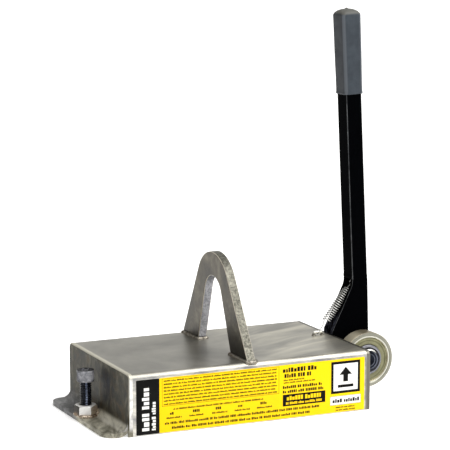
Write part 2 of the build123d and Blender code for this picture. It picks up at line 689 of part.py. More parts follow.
def return_spring():
    """The close-wound body as a tube, with a straight hook stem at each end."""
    foot = Vector(SPRING_FOOT[0], LEVER_Y, SPRING_FOOT[1])
    top = Vector(SPRING_PIN[0], LEVER_Y, SPRING_PIN[1])
    span = (top - foot).length
    frame = Plane(foot, x_dir=(0, 1, 0), z_dir=top - foot)
    start = SPRING_BODY_START
    end = span - SPRING_BODY_END
    tube = Cylinder(SPRING_RADIUS, end - start) - Cylinder(SPRING_BORE, end - start)
    body = Pos(0, 0, (start + end) / 2) * tube
    lower = STAPLE_RADIUS + SPRING_HOOK_GAP
    upper = span - SPRING_PIN_RADIUS - SPRING_HOOK_GAP
    for low, high in ((lower, start + SPRING_CAP), (end - SPRING_CAP, upper)):
        stem = Pos(0, 0, (low + high) / 2) * Cylinder(SPRING_HOOK_RADIUS, high - low)
        body += stem
    for z in (start + SPRING_CAP / 2, end - SPRING_CAP / 2):
        body += Pos(0, 0, z) * Cylinder(SPRING_RADIUS, SPRING_CAP)
    return frame * body


# Labels

def label(x_low, x_high):
    return box_between(
        (x_low, -SIDE_Y - LABEL_THICKNESS, LABEL_BASE_Z), (x_high, -SIDE_Y, LABEL_TOP_Z)
    )


def all_parts():
    parts = {
        "housing_shell": housing_shell(),
        "toe_end_plate": toe_end_plate(),
        "lever_end_plate": lever_end_plate(),
        "lifting_eye": lifting_eye(),
        "eye_weld_beads": eye_weld_beads(),
        "yoke_plate": yoke_plate(),
        "magnet_blocks": magnet_blocks(),
        "pole_shoes": pole_shoes(),
        "pole_spacers": pole_spacers(),
        "core_screws": core_screws(),
        "potting_ring": potting_ring(),
        "jack_nut": jack_nut(),
        "jack_nut_weld": jack_nut_weld(),
        "jack_screw": jack_screw(),
        "pivot_lug": pivot_lug(),
        "lug_weld": lug_weld(),
        "pivot_bush": pivot_bush(),
        "pivot_pin": pivot_pin(),
        "lever_bar": lever_bar(),
        "front_cheek": cheek(-1),
        "rear_cheek": cheek(1),
        "fork_web": fork_web(),
        "lever_weld": lever_weld(),
        "lever_grip": lever_grip(),
        "roller_axle": roller_axle(),
        "axle_clips": axle_clips(),
        "spacer_washers": spacer_washers(),
        "spring_pin": spring_pin(),
        "spring_staple": spring_staple(),
        "return_spring": return_spring(),
        "rating_label": label(LABEL_SPLIT, LABEL_RIGHT),
        "capacity_panel": label(LABEL_LEFT, LABEL_SPLIT),
    }
    for name, side in (("front", -1), ("rear", 1)):
        parts[f"{name}_roller_ring"] = roller_ring(side)
        parts[f"{name}_roller_shields"] = roller_shields(side)
        parts[f"{name}_inner_ring"] = inner_ring(side)
        parts[f"{name}_balls"] = bearing_balls(side)
        parts[f"{name}_ball_cage"] = ball_cage(side)
    return parts


def write_parts():
    os.makedirs("parts", exist_ok=True)
    for name, shape in all_parts().items():
        if isinstance(shape, list):
            shape = Compound(children=shape)
        export_step(shape, f"parts/{name}.step")


write_parts()
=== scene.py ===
import json
import math
import random

import bmesh
import bpy
from mathutils import Matrix, Vector


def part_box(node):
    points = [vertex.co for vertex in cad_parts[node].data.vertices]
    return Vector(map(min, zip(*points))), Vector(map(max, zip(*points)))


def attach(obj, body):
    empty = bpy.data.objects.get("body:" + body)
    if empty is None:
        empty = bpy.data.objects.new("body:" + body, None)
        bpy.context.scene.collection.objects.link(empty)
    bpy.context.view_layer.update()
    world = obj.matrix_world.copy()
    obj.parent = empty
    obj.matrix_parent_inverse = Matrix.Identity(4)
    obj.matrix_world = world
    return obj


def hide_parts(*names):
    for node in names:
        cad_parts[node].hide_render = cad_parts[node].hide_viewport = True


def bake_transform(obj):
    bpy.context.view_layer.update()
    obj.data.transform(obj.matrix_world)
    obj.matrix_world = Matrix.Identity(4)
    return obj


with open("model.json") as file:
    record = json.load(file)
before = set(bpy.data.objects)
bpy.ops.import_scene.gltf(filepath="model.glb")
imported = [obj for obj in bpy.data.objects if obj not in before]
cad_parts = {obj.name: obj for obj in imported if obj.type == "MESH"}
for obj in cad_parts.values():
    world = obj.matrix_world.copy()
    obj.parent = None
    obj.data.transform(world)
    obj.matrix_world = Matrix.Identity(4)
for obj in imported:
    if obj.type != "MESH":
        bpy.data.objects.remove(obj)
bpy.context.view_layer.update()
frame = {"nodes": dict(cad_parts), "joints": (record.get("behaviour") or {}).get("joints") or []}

# Everything is in metres, in the row's frame: +Z up, +X towards the lever, -Y the label side.
nodes = frame["nodes"]
joints = {joint["name"]: joint for joint in frame["joints"]}
MM = 0.001
TURN = 2 * math.pi

# Meshes


def finish_mesh(name, mesh_data, materials, sharp_angle=32):
    """Makes an object from a bmesh, with faces smooth apart from the edges sharper than an angle."""
    bmesh.ops.remove_doubles(mesh_data, verts=mesh_data.verts, dist=1e-7)
    bmesh.ops.recalc_face_normals(mesh_data, faces=mesh_data.faces)
    limit = math.radians(sharp_angle)
    for face in mesh_data.faces:
        face.smooth = True
    for edge in mesh_data.edges:
        edge.smooth = len(edge.link_faces) == 2 and edge.calc_face_angle(0) < limit
    mesh = bpy.data.meshes.new(name)
    mesh_data.to_mesh(mesh)
    mesh_data.free()
    piece = bpy.data.objects.new(name, mesh)
    bpy.context.scene.collection.objects.link(piece)
    for material in materials:
        mesh.materials.append(material)
    return piece


def add_rings(mesh_data, rings, closed=False):
    """Skins a list of rings of points, and caps the two ends unless the rings close on themselves."""
    made = [[mesh_data.verts.new(point) for point in ring] for ring in rings]
    count = len(made)
    pairs = count if closed else count - 1
    for i in range(pairs):
        low, high = made[i], made[(i + 1) % count]
        for j in range(len(low)):
            k = (j + 1) % len(low)
            mesh_data.faces.new((low[j], low[k], high[k], high[j]))
    if not closed:
        mesh_data.faces.new(made[0][::-1])
        mesh_data.faces.new(made[-1])


def skin(name, materials, sharp_angle, *shells, closed=True):
    """Makes an object from one or more lists of rings, each skinned on its own."""
    mesh_data = bmesh.new()
    for rings in shells:
        add_rings(mesh_data, rings, closed)
    return finish_mesh(name, mesh_data, materials, sharp_angle)


def revolve(rows, segments, place):
    """Rings round Z. A row is a height and a radius, and the radius may be a function of the angle."""
    rings = []
    for height, radius in rows:
        ring = []
        for i in range(segments):
            angle = TURN * i / segments
            reach = radius(angle) if callable(radius) else radius
            ring.append(place @ Vector((reach * math.cos(angle), reach * math.sin(angle), height)))
        rings.append(ring)
    return rings


def resample(points, step, closed=False):
    """Points evenly spaced along a polyline."""
    line = list(points) + ([points[0]] if closed else [])
    lengths = [(b - a).length for a, b in zip(line, line[1:])]
    total = sum(lengths)
    count = max(2, round(total / step))
    stations = [total * i / count for i in range(count if closed else count + 1)]
    result = []
    index, passed = 0, 0.0
    for station in stations:
        while index < len(lengths) - 1 and passed + lengths[index] < station:
            passed += lengths[index]
            index += 1
        share = (station - passed) / lengths[index]
        result.append(line[index].lerp(line[index + 1], min(share, 1.0)))
    return result


def tube_rings(points, radii, sides, closed=False):
    """Rings round a polyline, carried along it without twist."""
    count = len(points)
    rings = []
    across = None
    previous = None
    for i, point in enumerate(points):
        before = points[(i - 1) % count] if closed or i > 0 else point
        after = points[(i + 1) % count] if closed or i < count - 1 else point
        tangent = (after - before).normalized()
        if across is None:
            across = tangent.orthogonal().normalized()
        else:
            across = previous.rotation_difference(tangent) @ across
        up = tangent.cross(across)
        ring = []
        for j in range(sides):
            angle = TURN * j / sides
            ring.append(point + radii[i] * (math.cos(angle) * across + math.sin(angle) * up))
        rings.append(ring)
        previous = tangent
    return rings


def arc_points(middle, radius, start, end, count, u, v):
    """Points on an arc in the plane of u and v."""
    points = []
    for i in range(count + 1):
        angle = start + (end - start) * i / count
        points.append(middle + radius * (math.cos(angle) * u + math.sin(angle) * v))
    return points


def rounded_loop(half_x, half_y, radius, corner_steps=6):
    """A rounded rectangle round the origin in X and Y."""
    x_axis, y_axis = Vector((1, 0, 0)), Vector((0, 1, 0))
    corners = ((1, 1, 0.0), (-1, 1, 0.25), (-1, -1, 0.5), (1, -1, 0.75))
    loop = []
    for side_x, side_y, turn in corners:
        middle = Vector((side_x * (half_x - radius), side_y * (half_y - radius), 0))
        loop += arc_points(middle, radius, TURN * turn, TURN * (turn + 0.25), corner_steps, x_axis, y_axis)
    return loop


# Materials


class Graph:
    """A material and short ways to add nodes to it."""

    def __init__(self, name, metallic, roughness, **sockets):
        self.material = bpy.data.materials.new(name)
        self.material.use_nodes = True
        self.tree = self.material.node_tree
        self.shader = self.tree.nodes["Principled BSDF"]
        self.shader.inputs["Metallic"].default_value = metallic
        self.shader.inputs["Roughness"].default_value = roughness
        for key, value in sockets.items():
            self.shader.inputs[key.replace("_", " ")].default_value = value
        source = self.tree.nodes.new("ShaderNodeTexCoord")
        self.coordinates = source.outputs["Object"]
        self.normals = source.outputs["Normal"]

    def link(self, output, target):
        self.tree.links.new(output, target)

    def add(self, kind, **inputs):
        """A new node, with each named input set to a value or joined to a link."""
        node = self.tree.nodes.new(f"ShaderNode{kind}")
        for key, value in inputs.items():
            self.fill(node.inputs[key.replace("_", " ")], value)
        return node

    def fill(self, socket, value):
        if isinstance(value, bpy.types.NodeSocket):
            self.link(value, socket)
        else:
            socket.default_value = value

    def stretched(self, scale, turn=(0, 0, 0), shift=(0, 0, 0)):
        """The object's own coordinates, turned and then scaled along each axis."""
        turned = self.add("Mapping", Vector=self.coordinates, Rotation=turn)
        scaled = self.add("Mapping", Vector=turned.outputs["Vector"], Scale=scale, Location=shift)
        return scaled.outputs["Vector"]

    def noise(self, vector, scale=1.0, detail=4.0, roughness=0.55, distortion=0.0):
        kinds = {"Scale": scale, "Detail": detail, "Roughness": roughness, "Distortion": distortion}
        return self.add("TexNoise", Vector=vector, **kinds).outputs["Fac"]

    def cloud(self, scale, detail, roughness=0.55, distortion=0.0):
        """Noise that is the same in every direction."""
        return self.noise(self.stretched((1, 1, 1)), scale, detail, roughness, distortion)

    def ramp(self, factor, stops):
        """A colour ramp. A stop is a place and a colour, or a place and one grey level."""
        node = self.add("ValToRGB", Fac=factor)
        ramp = node.color_ramp
        while len(ramp.elements) < len(stops):
            ramp.elements.new(0.5)
        for element, (place, colour) in zip(ramp.elements, stops):
            levels = colour if isinstance(colour, tuple) else (colour, colour, colour)
            element.position = place
            element.color = (*levels, 1)
        return node.outputs["Color"]

    def span(self, factor, low, high):
        """A ramp from one level or colour at 0.3 to another at 0.7, where most of a noise lies."""
        return self.ramp(factor, [(0.3, low), (0.7, high)])

    def mix(self, factor, first, second, kind="MIX"):
        """Mixes two colours or links. The factor is a number or a link."""
        node = self.add("Mix")
        node.data_type = "RGBA"
        node.blend_type = kind
        for index, value in ((0, factor), (6, first), (7, second)):
            self.fill(node.inputs[index], (*value, 1) if isinstance(value, tuple) else value)
        return node.outputs[2]

    def math(self, operation, first, second=0.0, clamp=False):
        node = self.add("Math")
        node.operation = operation
        node.use_clamp = clamp
        self.fill(node.inputs[0], first)
        self.fill(node.inputs[1], second)
        return node.outputs[0]

    def times(self, first, second):
        return self.math("MULTIPLY", first, second)

    def axis(self, letter):
        return self.add("SeparateXYZ", Vector=self.coordinates).outputs[letter]

    def facing(self, letter):
        """How far the surface faces along one of the object's own axes, from -1 to 1."""
        return self.add("SeparateXYZ", Vector=self.normals).outputs[letter]

    def flat(self, letter, low=0.85, high=0.97):
        """1 on faces square to an axis, on either side, and 0 on the others."""
        return self.ramp(self.math("ABSOLUTE", self.facing(letter)), [(low, 0.0), (high, 1.0)])

    def corners(self, first, second, low=0.12, high=0.35):
        """1 where the surface turns a corner between two axes, and 0 on the flats."""
        both = self.math("ABSOLUTE", self.math("MULTIPLY", self.facing(first), self.facing(second)))
        return self.ramp(both, [(low, 0.0), (high, 1.0)])

    def rise(self, value, low, high):
        """0 below one value of a link and 1 above another."""
        node = self.add("MapRange", Value=value, From_Min=low, From_Max=high)
        node.interpolation_type = "SMOOTHSTEP"
        return node.outputs["Result"]

    def fall(self, value, low, high):
        """1 below one value of a link and 0 above another."""
        return self.math("SUBTRACT", 1.0, self.rise(value, low, high))

    def away(self, letter, low, high):
        """1 on faces that face down an axis, fading to 0 on the others."""
        return self.rise(self.times(self.facing(letter), -1.0), low, high)

    def distance_to(self, point, scale=(1, 1, 1)):
        """How far the surface is from a point, in metres, with each axis scaled."""
        node = self.add("VectorMath")
        node.operation = "DISTANCE"
        node.inputs[1].default_value = [c * s for c, s in zip(point, scale)]
        self.link(self.stretched(scale), node.inputs[0])
        return node.outputs["Value"]

    def near(self, point, inner, outer, scale=(1, 1, 1)):
        """1 within the inner distance of a point, fading to 0 at the outer distance."""
        reach = self.distance_to(point, scale)
        node = self.add("MapRange", Value=reach, From_Min=inner, From_Max=outer, To_Min=1.0, To_Max=0.0)
        node.interpolation_type = "SMOOTHSTEP"
        return node.outputs["Result"]

    def bump(self, height, strength, distance, under=None):
        node = self.add("Bump", Strength=strength, Distance=distance, Height=height)
        if under is not None:
            self.link(under, node.inputs["Normal"])
        return node.outputs["Normal"]

    def finish(self, colour=None, roughness=None, normal=None):
        for output, key in ((colour, "Base Color"), (roughness, "Roughness"), (normal, "Normal")):
            if output is not None:
                self.link(output, self.shader.inputs[key])
        return self.material


def rolled(g, base, clouds, streaks, fine, gloss, over=None):
    """Bare sheet: multiplies in the streaks and the fine grain of its rolling, under what lies over them."""
    base = g.mix(0.35, base, g.ramp(streaks, [(0.32, 0.62), (0.70, 1.0)]), "MULTIPLY")
    base = g.mix(0.20, base, g.ramp(fine, [(0.35, 0.70), (0.65, 1.0)]), "MULTIPLY")
    if over is not None:
        base = over(base)
    rough = g.math("ADD", g.times(streaks, gloss[1] - gloss[0]), gloss[0])
    return g.finish(base, rough, g.bump(clouds, 0.30, 0.0012, g.bump(fine, 0.25, 0.00004)))


def shell_material():
    """The folded shell: grain along it, soft slanting streaks on the roof, and a smeared label side painted
    brighter than the roof as a painted highlight, with painted shade past the label.
    """
    g = Graph("shell_steel", 0.85, 0.35)
    clouds = g.cloud(9.0, 5, 0.6, 0.4)
    streaks = g.noise(g.stretched((5, 220, 220)), 1.0, 6, 0.65)
    slant = g.noise(g.stretched((9, 42, 40), (0, 0, -0.40)), 1.0, 3, 0.5, 0.5)
    smears = g.noise(g.stretched((0.5, 1, 1.3), shift=(2, 5, 3)), 60.0, 5, 0.7, 0.5)
    fine = g.noise(g.stretched((16, 680, 680)), 1.0, 3, 0.6)
    base = g.ramp(clouds, [(0.32, (0.25, 0.24, 0.21)), (0.70, (0.50, 0.48, 0.42))])
    light_marks = g.times(g.ramp(slant, [(0.40, 0.0), (0.68, 0.75)]), g.rise(g.axis("X"), -30 * MM, 80 * MM))
    light_marks = g.times(light_marks, g.rise(g.facing("Z"), 0.5, 0.9))
    # Painted highlight: faces on the label side take their own smeared colour, painted brighter than the
    # roof.
    lit_label_side = g.away("Y", 0.85, 0.97)
    sides = g.ramp(smears, [
        (0.36, (0.24, 0.24, 0.25)), (0.50, (0.48, 0.47, 0.43)), (0.66, (0.70, 0.68, 0.62)),
    ])
    # Painted shade: the label side is darker past the label's end, below the roof's edge.
    below = g.fall(g.axis("Z"), ROOF - 16 * MM, ROOF - 6 * MM)
    shaded_past_label = g.times(g.rise(g.axis("X"), LABEL_END, LABEL_END + 2 * MM), below)
    sides = g.mix(g.times(shaded_past_label, 0.8), sides, (0.20, 0.19, 0.16))

    def over(steel):
        return g.mix(lit_label_side, g.mix(light_marks, steel, (0.76, 0.72, 0.60)), sides)

    return rolled(g, base, clouds, streaks, fine, (0.28, 0.46), over)


def toe_material(screw):
    """The toe plate: dark mottled wall, bright ground edges, and a rubbed, lighter flange, with a painted
    highlight along its bend.
    """
    g = Graph("toe_steel", 0.35, 0.42, IOR=1.15)
    clouds = g.noise(g.stretched((1, 1.6, 1)), 42.0, 6, 0.7, 0.5)
    rust = g.noise(g.stretched((1, 1, 1), shift=(3, 1, 7)), 40.0, 6, 0.65, 1.2)
    drag = g.noise(g.stretched((90, 26, 60), (0, 0, 0.35)), 1.0, 5, 0.65, 0.9)
    wall = g.ramp(clouds, [
        (0.36, (0.014, 0.014, 0.011)), (0.50, (0.046, 0.043, 0.031)), (0.66, (0.135, 0.128, 0.098)),
    ])
    wall = g.mix(g.ramp(rust, [(0.52, 0.0), (0.64, 0.6)]), wall, (0.075, 0.052, 0.024))
    burnt = g.near(screw + Vector((0, -28, 12)) * MM, 8 * MM, 26 * MM)
    wall = g.mix(g.times(burnt, g.ramp(clouds, [(0.4, 1.0), (0.62, 0.2)])), wall, (0.012, 0.014, 0.022))
    foot = g.ramp(drag, [
        (0.36, (0.14, 0.132, 0.10)), (0.52, (0.33, 0.315, 0.25)), (0.68, (0.64, 0.61, 0.50)),
    ])
    # Painted highlight along the bend between the flange and the wall.
    bend = g.times(g.corners("X", "Z", 0.10, 0.40), g.ramp(drag, [(0.36, 0.35), (0.60, 0.9)]))
    foot = g.mix(bend, foot, (0.88, 0.85, 0.73))
    foot = g.mix(g.rise(g.axis("Y"), -0.012, 0.012), foot, g.ramp(drag, [(0.36, 0.10), (0.66, 0.30)]))
    low = g.fall(g.axis("Z"), 8 * MM, 15 * MM)
    base = g.mix(low, wall, foot)
    sides = g.times(g.flat("Y"), g.rise(g.axis("Z"), 4 * MM, 10 * MM))
    base = g.mix(sides, base, g.ramp(clouds, [(0.36, (0.35, 0.35, 0.35)), (0.60, (0.86, 0.85, 0.82))]))
    high = g.rise(g.axis("Z"), 20 * MM, 30 * MM)
    base = g.mix(g.times(g.rise(g.facing("Z"), 0.15, 0.45), high), base, (0.50, 0.48, 0.40))
    base = g.mix(g.times(g.corners("X", "Y"), high), base, (0.22, 0.21, 0.18))
    return g.finish(base, g.span(clouds, 0.34, 0.55), g.bump(clouds, 0.35, 0.0010))


def lever_end_material():
    """The lever's end plate: darker bare sheet, with its grain across the housing."""
    g = Graph("lever_end_steel", 1.0, 0.35)
    clouds = g.cloud(9.0, 5, 0.6, 0.4)
    streaks = g.noise(g.stretched((160, 7, 160)), 1.0, 6, 0.65)
    fine = g.noise(g.stretched((496, 21.7, 496)), 1.0, 3, 0.6)
    base = g.ramp(clouds, [(0.30, (0.12, 0.113, 0.093)), (0.72, (0.21, 0.20, 0.17))])
    return rolled(g, base, clouds, streaks, fine, (0.3, 0.5))


def eye_material():
    """The eye: mottled brown flats, darker at the feet, a painted highlight on its rounded edges, and sheared
    inner sides painted bluish as a painted reflection of the sky.
    """
    g = Graph("eye_steel", 0.7, 0.40)
    clouds = g.cloud(34.0, 6, 0.65, 0.4)
    grain = g.noise(g.stretched((90, 60, 14)), 1.0, 5, 0.65)
    speck = g.cloud(420.0, 3, 0.6)
    flats = g.ramp(clouds, [
        (0.36, (0.030, 0.025, 0.016)), (0.50, (0.088, 0.077, 0.055)), (0.66, (0.21, 0.19, 0.15)),
    ])
    flats = g.mix(0.5, flats, g.ramp(grain, [(0.34, 0.50), (0.66, 1.0)]), "MULTIPLY")
    foot = g.fall(g.axis("Z"), 72 * MM, 96 * MM)
    flats = g.mix(g.times(foot, g.ramp(clouds, [(0.40, 0.85), (0.62, 0.25)])), flats, (0.030, 0.026, 0.020))
    outer = g.ramp(speck, [(0.38, (0.050, 0.048, 0.038)), (0.64, (0.185, 0.178, 0.145))])
    # Painted reflection: the sheared inner sides are bluish for the sky they reflect.
    inner = g.ramp(speck, [(0.38, (0.20, 0.205, 0.235)), (0.62, (0.38, 0.39, 0.45))])
    inwards = g.times(g.facing("Y"), g.math("SIGN", g.axis("Y")))
    strips = g.mix(g.rise(g.times(inwards, -1.0), 0.0, 0.3), outer, inner)
    base = g.mix(g.flat("X", 0.80, 0.95), strips, flats)
    # Painted highlight on the rounded edges between the flats and the cut sides.
    turned = g.math("ABSOLUTE", g.facing("X"))
    edge = g.ramp(turned, [(0.20, 0.0), (0.40, 0.9), (0.88, 0.9), (0.97, 0.0)])
    base = g.mix(edge, base, (0.80, 0.74, 0.62))
    marks = g.bump(speck, 0.15, 0.0002, g.bump(clouds, 0.3, 0.0010))
    return g.finish(base, g.span(clouds, 0.32, 0.52), marks)


def weld_material(name="weld_metal", dark=(0.18, 0.16, 0.13), light=(0.38, 0.355, 0.305)):
    g = Graph(name, 1.0, 0.38)
    lumps = g.cloud(260.0, 5, 0.6, 0.5)
    soot = g.noise(g.stretched((1, 1, 1), shift=(5, 2, 1)), 90.0, 4, 0.6)
    base = g.ramp(lumps, [(0.35, dark), (0.60, light)])
    base = g.mix(g.ramp(soot, [(0.55, 0.0), (0.68, 0.8)]), base, (0.10, 0.065, 0.035))
    return g.finish(base, g.span(lumps, 0.55, 0.28), g.bump(lumps, 0.5, 0.0003))


def plain_steel(name, colour, roughness, grain=(300, 300, 300)):
    """Machined or plated steel with a fine grain and a little staining."""
    g = Graph(name, 1.0, roughness)
    grain_noise = g.noise(g.stretched(grain), 1.0, 4, 0.6)
    clouds = g.cloud(60.0, 4, 0.6)
    low = tuple(c * 0.75 for c in colour)
    base = g.mix(0.5, g.span(grain_noise, low, colour), g.span(clouds, low, colour))
    gloss = g.span(clouds, roughness * 1.35, roughness * 0.8)
    return g.finish(base, gloss, g.bump(grain_noise, 0.2, 0.00004))


def turned_steel(name, colour, roughness, middle):
    """Steel turned or ground round the Y axis through a point: fine rings on its faces."""
    g = Graph(name, 1.0, roughness)
    spread = g.distance_to(middle, (1, 0, 1))
    rings = g.add("TexNoise", Scale=2600.0, Detail=3.0)
    rings.noise_dimensions = "1D"
    g.link(spread, rings.inputs["W"])
    clouds = g.cloud(70.0, 5, 0.6, 0.6)
    low = tuple(c * 0.62 for c in colour)
    base = g.span(clouds, low, colour)
    base = g.mix(0.35, base, g.ramp(rings.outputs["Fac"], [(0.35, 0.55), (0.65, 1.0)]), "MULTIPLY")
    gloss = g.span(clouds, roughness * 1.3, roughness * 0.8)
    return g.finish(base, gloss, g.bump(rings.outputs["Fac"], 0.25, 0.00005))


def black_paint():
    """Enamel with orange peel and dust, with a painted grey highlight along its long corners and a painted
    bluish reflection near the pivot.
    """
    g = Graph("black_paint", 0.0, 0.25, Specular_IOR_Level=0.3, IOR=1.03)
    peel = g.cloud(340.0, 3, 0.5)
    dust = g.cloud(900.0, 4, 0.7)
    rub = g.cloud(45.0, 6, 0.65, 0.8)
    base = g.ramp(dust, [(0.45, (0.0006, 0.0007, 0.0010)), (0.80, (0.0022, 0.0024, 0.0032))])
    # Painted highlight: a grey line along the long corners, broken up by a rub noise.
    light_marks = g.times(g.corners("X", "Y"), g.ramp(rub, [(0.35, 0.25), (0.62, 1.0)]))
    base = g.mix(light_marks, base, (0.12, 0.125, 0.13))
    # Painted reflection: a bluish sheen in vertical streaks on the paint by the pivot, off the front cheek's
    # outer face.
    sheen_streaks = g.noise(g.stretched((500, 500, 90)), 1.0, 4, 0.6, 0.6)
    heel_reflection = g.times(g.near(HEEL, 6 * MM, 24 * MM), g.ramp(sheen_streaks, [(0.42, 0.0), (0.60, 1.0)]))
    heel_reflection = g.times(heel_reflection, g.rise(g.axis("Y"), CHEEK_FACE + 0.1 * MM, CHEEK_FACE + 0.6 * MM))
    base = g.mix(heel_reflection, base, (0.085, 0.090, 0.125))
    return g.finish(base, g.ramp(rub, [(0.35, 0.20), (0.75, 0.36)]), g.bump(peel, 0.10, 0.0002))


def grip_vinyl():
    """Matt dipped vinyl: a soft mottle, faint vertical drag marks and a fine pebbled skin, with painted shade
    on its left side and painted highlights on its rounded corners and its top.
    """
    g = Graph("grip_vinyl", 0.0, 0.55, Specular_IOR_Level=0.3)
    mottle = g.cloud(70.0, 5, 0.6, 0.4)
    pebble = g.cloud(1500.0, 3, 0.6)
    drag = g.noise(g.stretched((420, 420, 26)), 1.0, 3, 0.6)
    base = g.ramp(mottle, [(0.30, (0.020, 0.027, 0.036)), (0.72, (0.034, 0.044, 0.056))])
    base = g.mix(0.35, base, g.ramp(drag, [(0.35, 0.72), (0.68, 1.0)]), "MULTIPLY")
    # Painted shade on the left side, and painted highlights on the rounded corners and the top.
    left = g.times(g.away("X", 0.75, 0.97), 0.7)
    base = g.mix(left, base, (0.008, 0.011, 0.016))
    base = g.mix(g.corners("X", "Y", 0.15, 0.45), base, (0.085, 0.095, 0.110))
    base = g.mix(g.rise(g.facing("Z"), 0.15, 0.7), base, (0.105, 0.105, 0.095))
    gloss = g.span(mottle, 0.62, 0.46)
    return g.finish(base, gloss, g.bump(pebble, 0.18, 0.0001, g.bump(mottle, 0.25, 0.0006)))


def black_oxide(lit):
    """Oiled black oxide on the thread, rubbed in places, with a painted blue-grey highlight along one side.
    """
    g = Graph("black_oxide", 0.4, 0.22)
    wear = g.cloud(180.0, 5, 0.65, 0.6)
    base = g.ramp(wear, [(0.42, (0.004, 0.005, 0.009)), (0.78, (0.05, 0.055, 0.075))])
    # Painted highlight: a blue-grey streak along the side nearest the lit point.
    thread_highlight = g.times(g.near(lit, 0.2 * MM, 1.7 * MM, (1, 1, 0)), g.ramp(wear, [(0.40, 0.2), (0.62, 1.0)]))
    base = g.mix(thread_highlight, base, (0.26, 0.31, 0.45))
    return g.finish(base, g.ramp(wear, [(0.3, 0.18), (0.75, 0.36)]), g.bump(wear, 0.12, 0.0001))


def head_oxide():
    """The screw head's oxide: its side painted light grey as a painted highlight, darker towards its foot,
    with painted shade on its left and right, and black on its top face and in its socket.
    """
    g = Graph("head_oxide", 0.35, 0.36, IOR=1.15)
    wear = g.cloud(260.0, 5, 0.65, 0.6)
    # Painted highlight: the light grey of the side stands for the light on it.
    base = g.ramp(wear, [(0.35, (0.20, 0.205, 0.225)), (0.70, (0.48, 0.48, 0.51))])
    foot = g.fall(g.axis("Z"), HEAD_FOOT, HEAD_FOOT + 3 * MM)
    base = g.mix(g.times(foot, 0.3), base, (0.06, 0.062, 0.07))
    # Painted shade on the left and right sides.
    left = g.away("X", 0.55, 0.98)
    base = g.mix(g.times(left, 0.7), base, (0.035, 0.036, 0.042))
    right = g.rise(g.facing("X"), 0.35, 0.85)
    base = g.mix(g.times(right, 0.6), base, (0.05, 0.05, 0.058))
    base = g.mix(g.rise(g.facing("Z"), 0.5, 0.9), base, (0.012, 0.012, 0.014))
    return g.finish(base, g.ramp(wear, [(0.3, 0.30), (0.75, 0.45)]), g.bump(wear, 0.15, 0.0001))


def nut_material(foot):
    """Zinc plating, browned by the weld round its foot and on the side towards the wall, with painted shade
    on the side turned away from it.
    """
    g = Graph("zinc_nut", 0.4, 0.32, IOR=1.2)
    clouds = g.cloud(120.0, 5, 0.6, 0.8)
    base = g.span(clouds, (0.80, 0.79, 0.77), (0.95, 0.94, 0.92))
    # Painted shade: faces turned towards -X are near black.
    far = g.away("X", 0.55, 0.80)
    base = g.mix(far, base, (0.022, 0.016, 0.010))
    near = g.rise(g.facing("X"), 0.30, 0.52)
    base = g.mix(g.times(near, g.ramp(clouds, [(0.35, 0.95), (0.65, 0.60)])), base, (0.36, 0.275, 0.18))
    heat = g.fall(g.axis("Z"), foot, foot + 6 * MM)
    heat = g.math("MULTIPLY", heat, g.ramp(clouds, [(0.40, 0.0), (0.62, 0.8)]), clamp=True)
    base = g.mix(heat, base, (0.40, 0.27, 0.16))
    return g.finish(base, g.span(clouds, 0.42, 0.24), g.bump(clouds, 0.2, 0.0003))


def label_film(name, colour, dirt):
    """Printed film: smooth, a little uneven in gloss, with faint handling dirt."""
    g = Graph(name, 0.0, 0.32, Specular_IOR_Level=0.08)
    smear = g.cloud(30.0, 5, 0.65, 0.8)
    grain = g.cloud(1200.0, 2, 0.5)
    base = g.mix(g.ramp(smear, [(0.52, 0.0), (0.85, 0.45)]), colour, dirt)
    return g.finish(base, g.span(smear, 0.26, 0.42), g.bump(grain, 0.05, 0.00005))


def ring_steel(middle):
    """A roller's ground ring: beige tread with painted shade near its top, bright chamfer, and an olive face
    with a light line by its step, a painted highlight.
    """
    g = Graph("bearing_steel", 0.55, 0.32)
    clouds = g.cloud(70.0, 5, 0.6, 0.6)
    reach = g.math("DIVIDE", g.distance_to(middle, (1, 0, 1)), 32 * MM)
    olive, light = (0.22, 0.215, 0.145), (0.66, 0.65, 0.57)
    # Painted highlight: the light band on the face by the step.
    face = g.ramp(reach, [
        (0.790, olive), (0.812, olive), (0.824, light), (0.850, light),
        (0.866, (0.24, 0.235, 0.185)), (0.990, (0.30, 0.295, 0.245)),
    ])
    # Painted shade: the tread darkens towards its top.
    shaded_tread_patch = g.near(middle + Vector((1, 0, 31)) * MM, 4 * MM, 17 * MM, (1, 0, 1))
    tread = g.mix(g.times(shaded_tread_patch, 0.85), (0.88, 0.80, 0.60), (0.17, 0.14, 0.085))
    base = g.mix(g.flat("Y", 0.60, 0.72), tread, face)
    base = g.mix(0.4, base, g.span(clouds, 0.6, 1.0), "MULTIPLY")
    return g.finish(base, g.span(clouds, 0.40, 0.24), g.bump(clouds, 0.15, 0.0003))


def race_steel(middle):
    """The inner ring: blue-grey, with a painted highlight on the lip at its bore."""
    g = Graph("race_steel", 0.6, 0.30)
    reach = g.math("DIVIDE", g.distance_to(middle, (1, 0, 1)), 17.2 * MM)
    wear = g.cloud(160.0, 4, 0.6)
    # Painted highlight: the face is lighter towards the bore.
    lip = g.ramp(reach, [
        (0.855, (0.40, 0.40, 0.42)), (0.905, (0.30, 0.30, 0.33)),
        (0.925, (0.15, 0.155, 0.18)), (1.0, (0.24, 0.24, 0.26)),
    ])
    base = g.mix(0.4, lip, g.span(wear, 0.6, 1.0), "MULTIPLY")
    return g.finish(base, g.span(wear, 0.38, 0.22), g.bump(wear, 0.15, 0.0001))


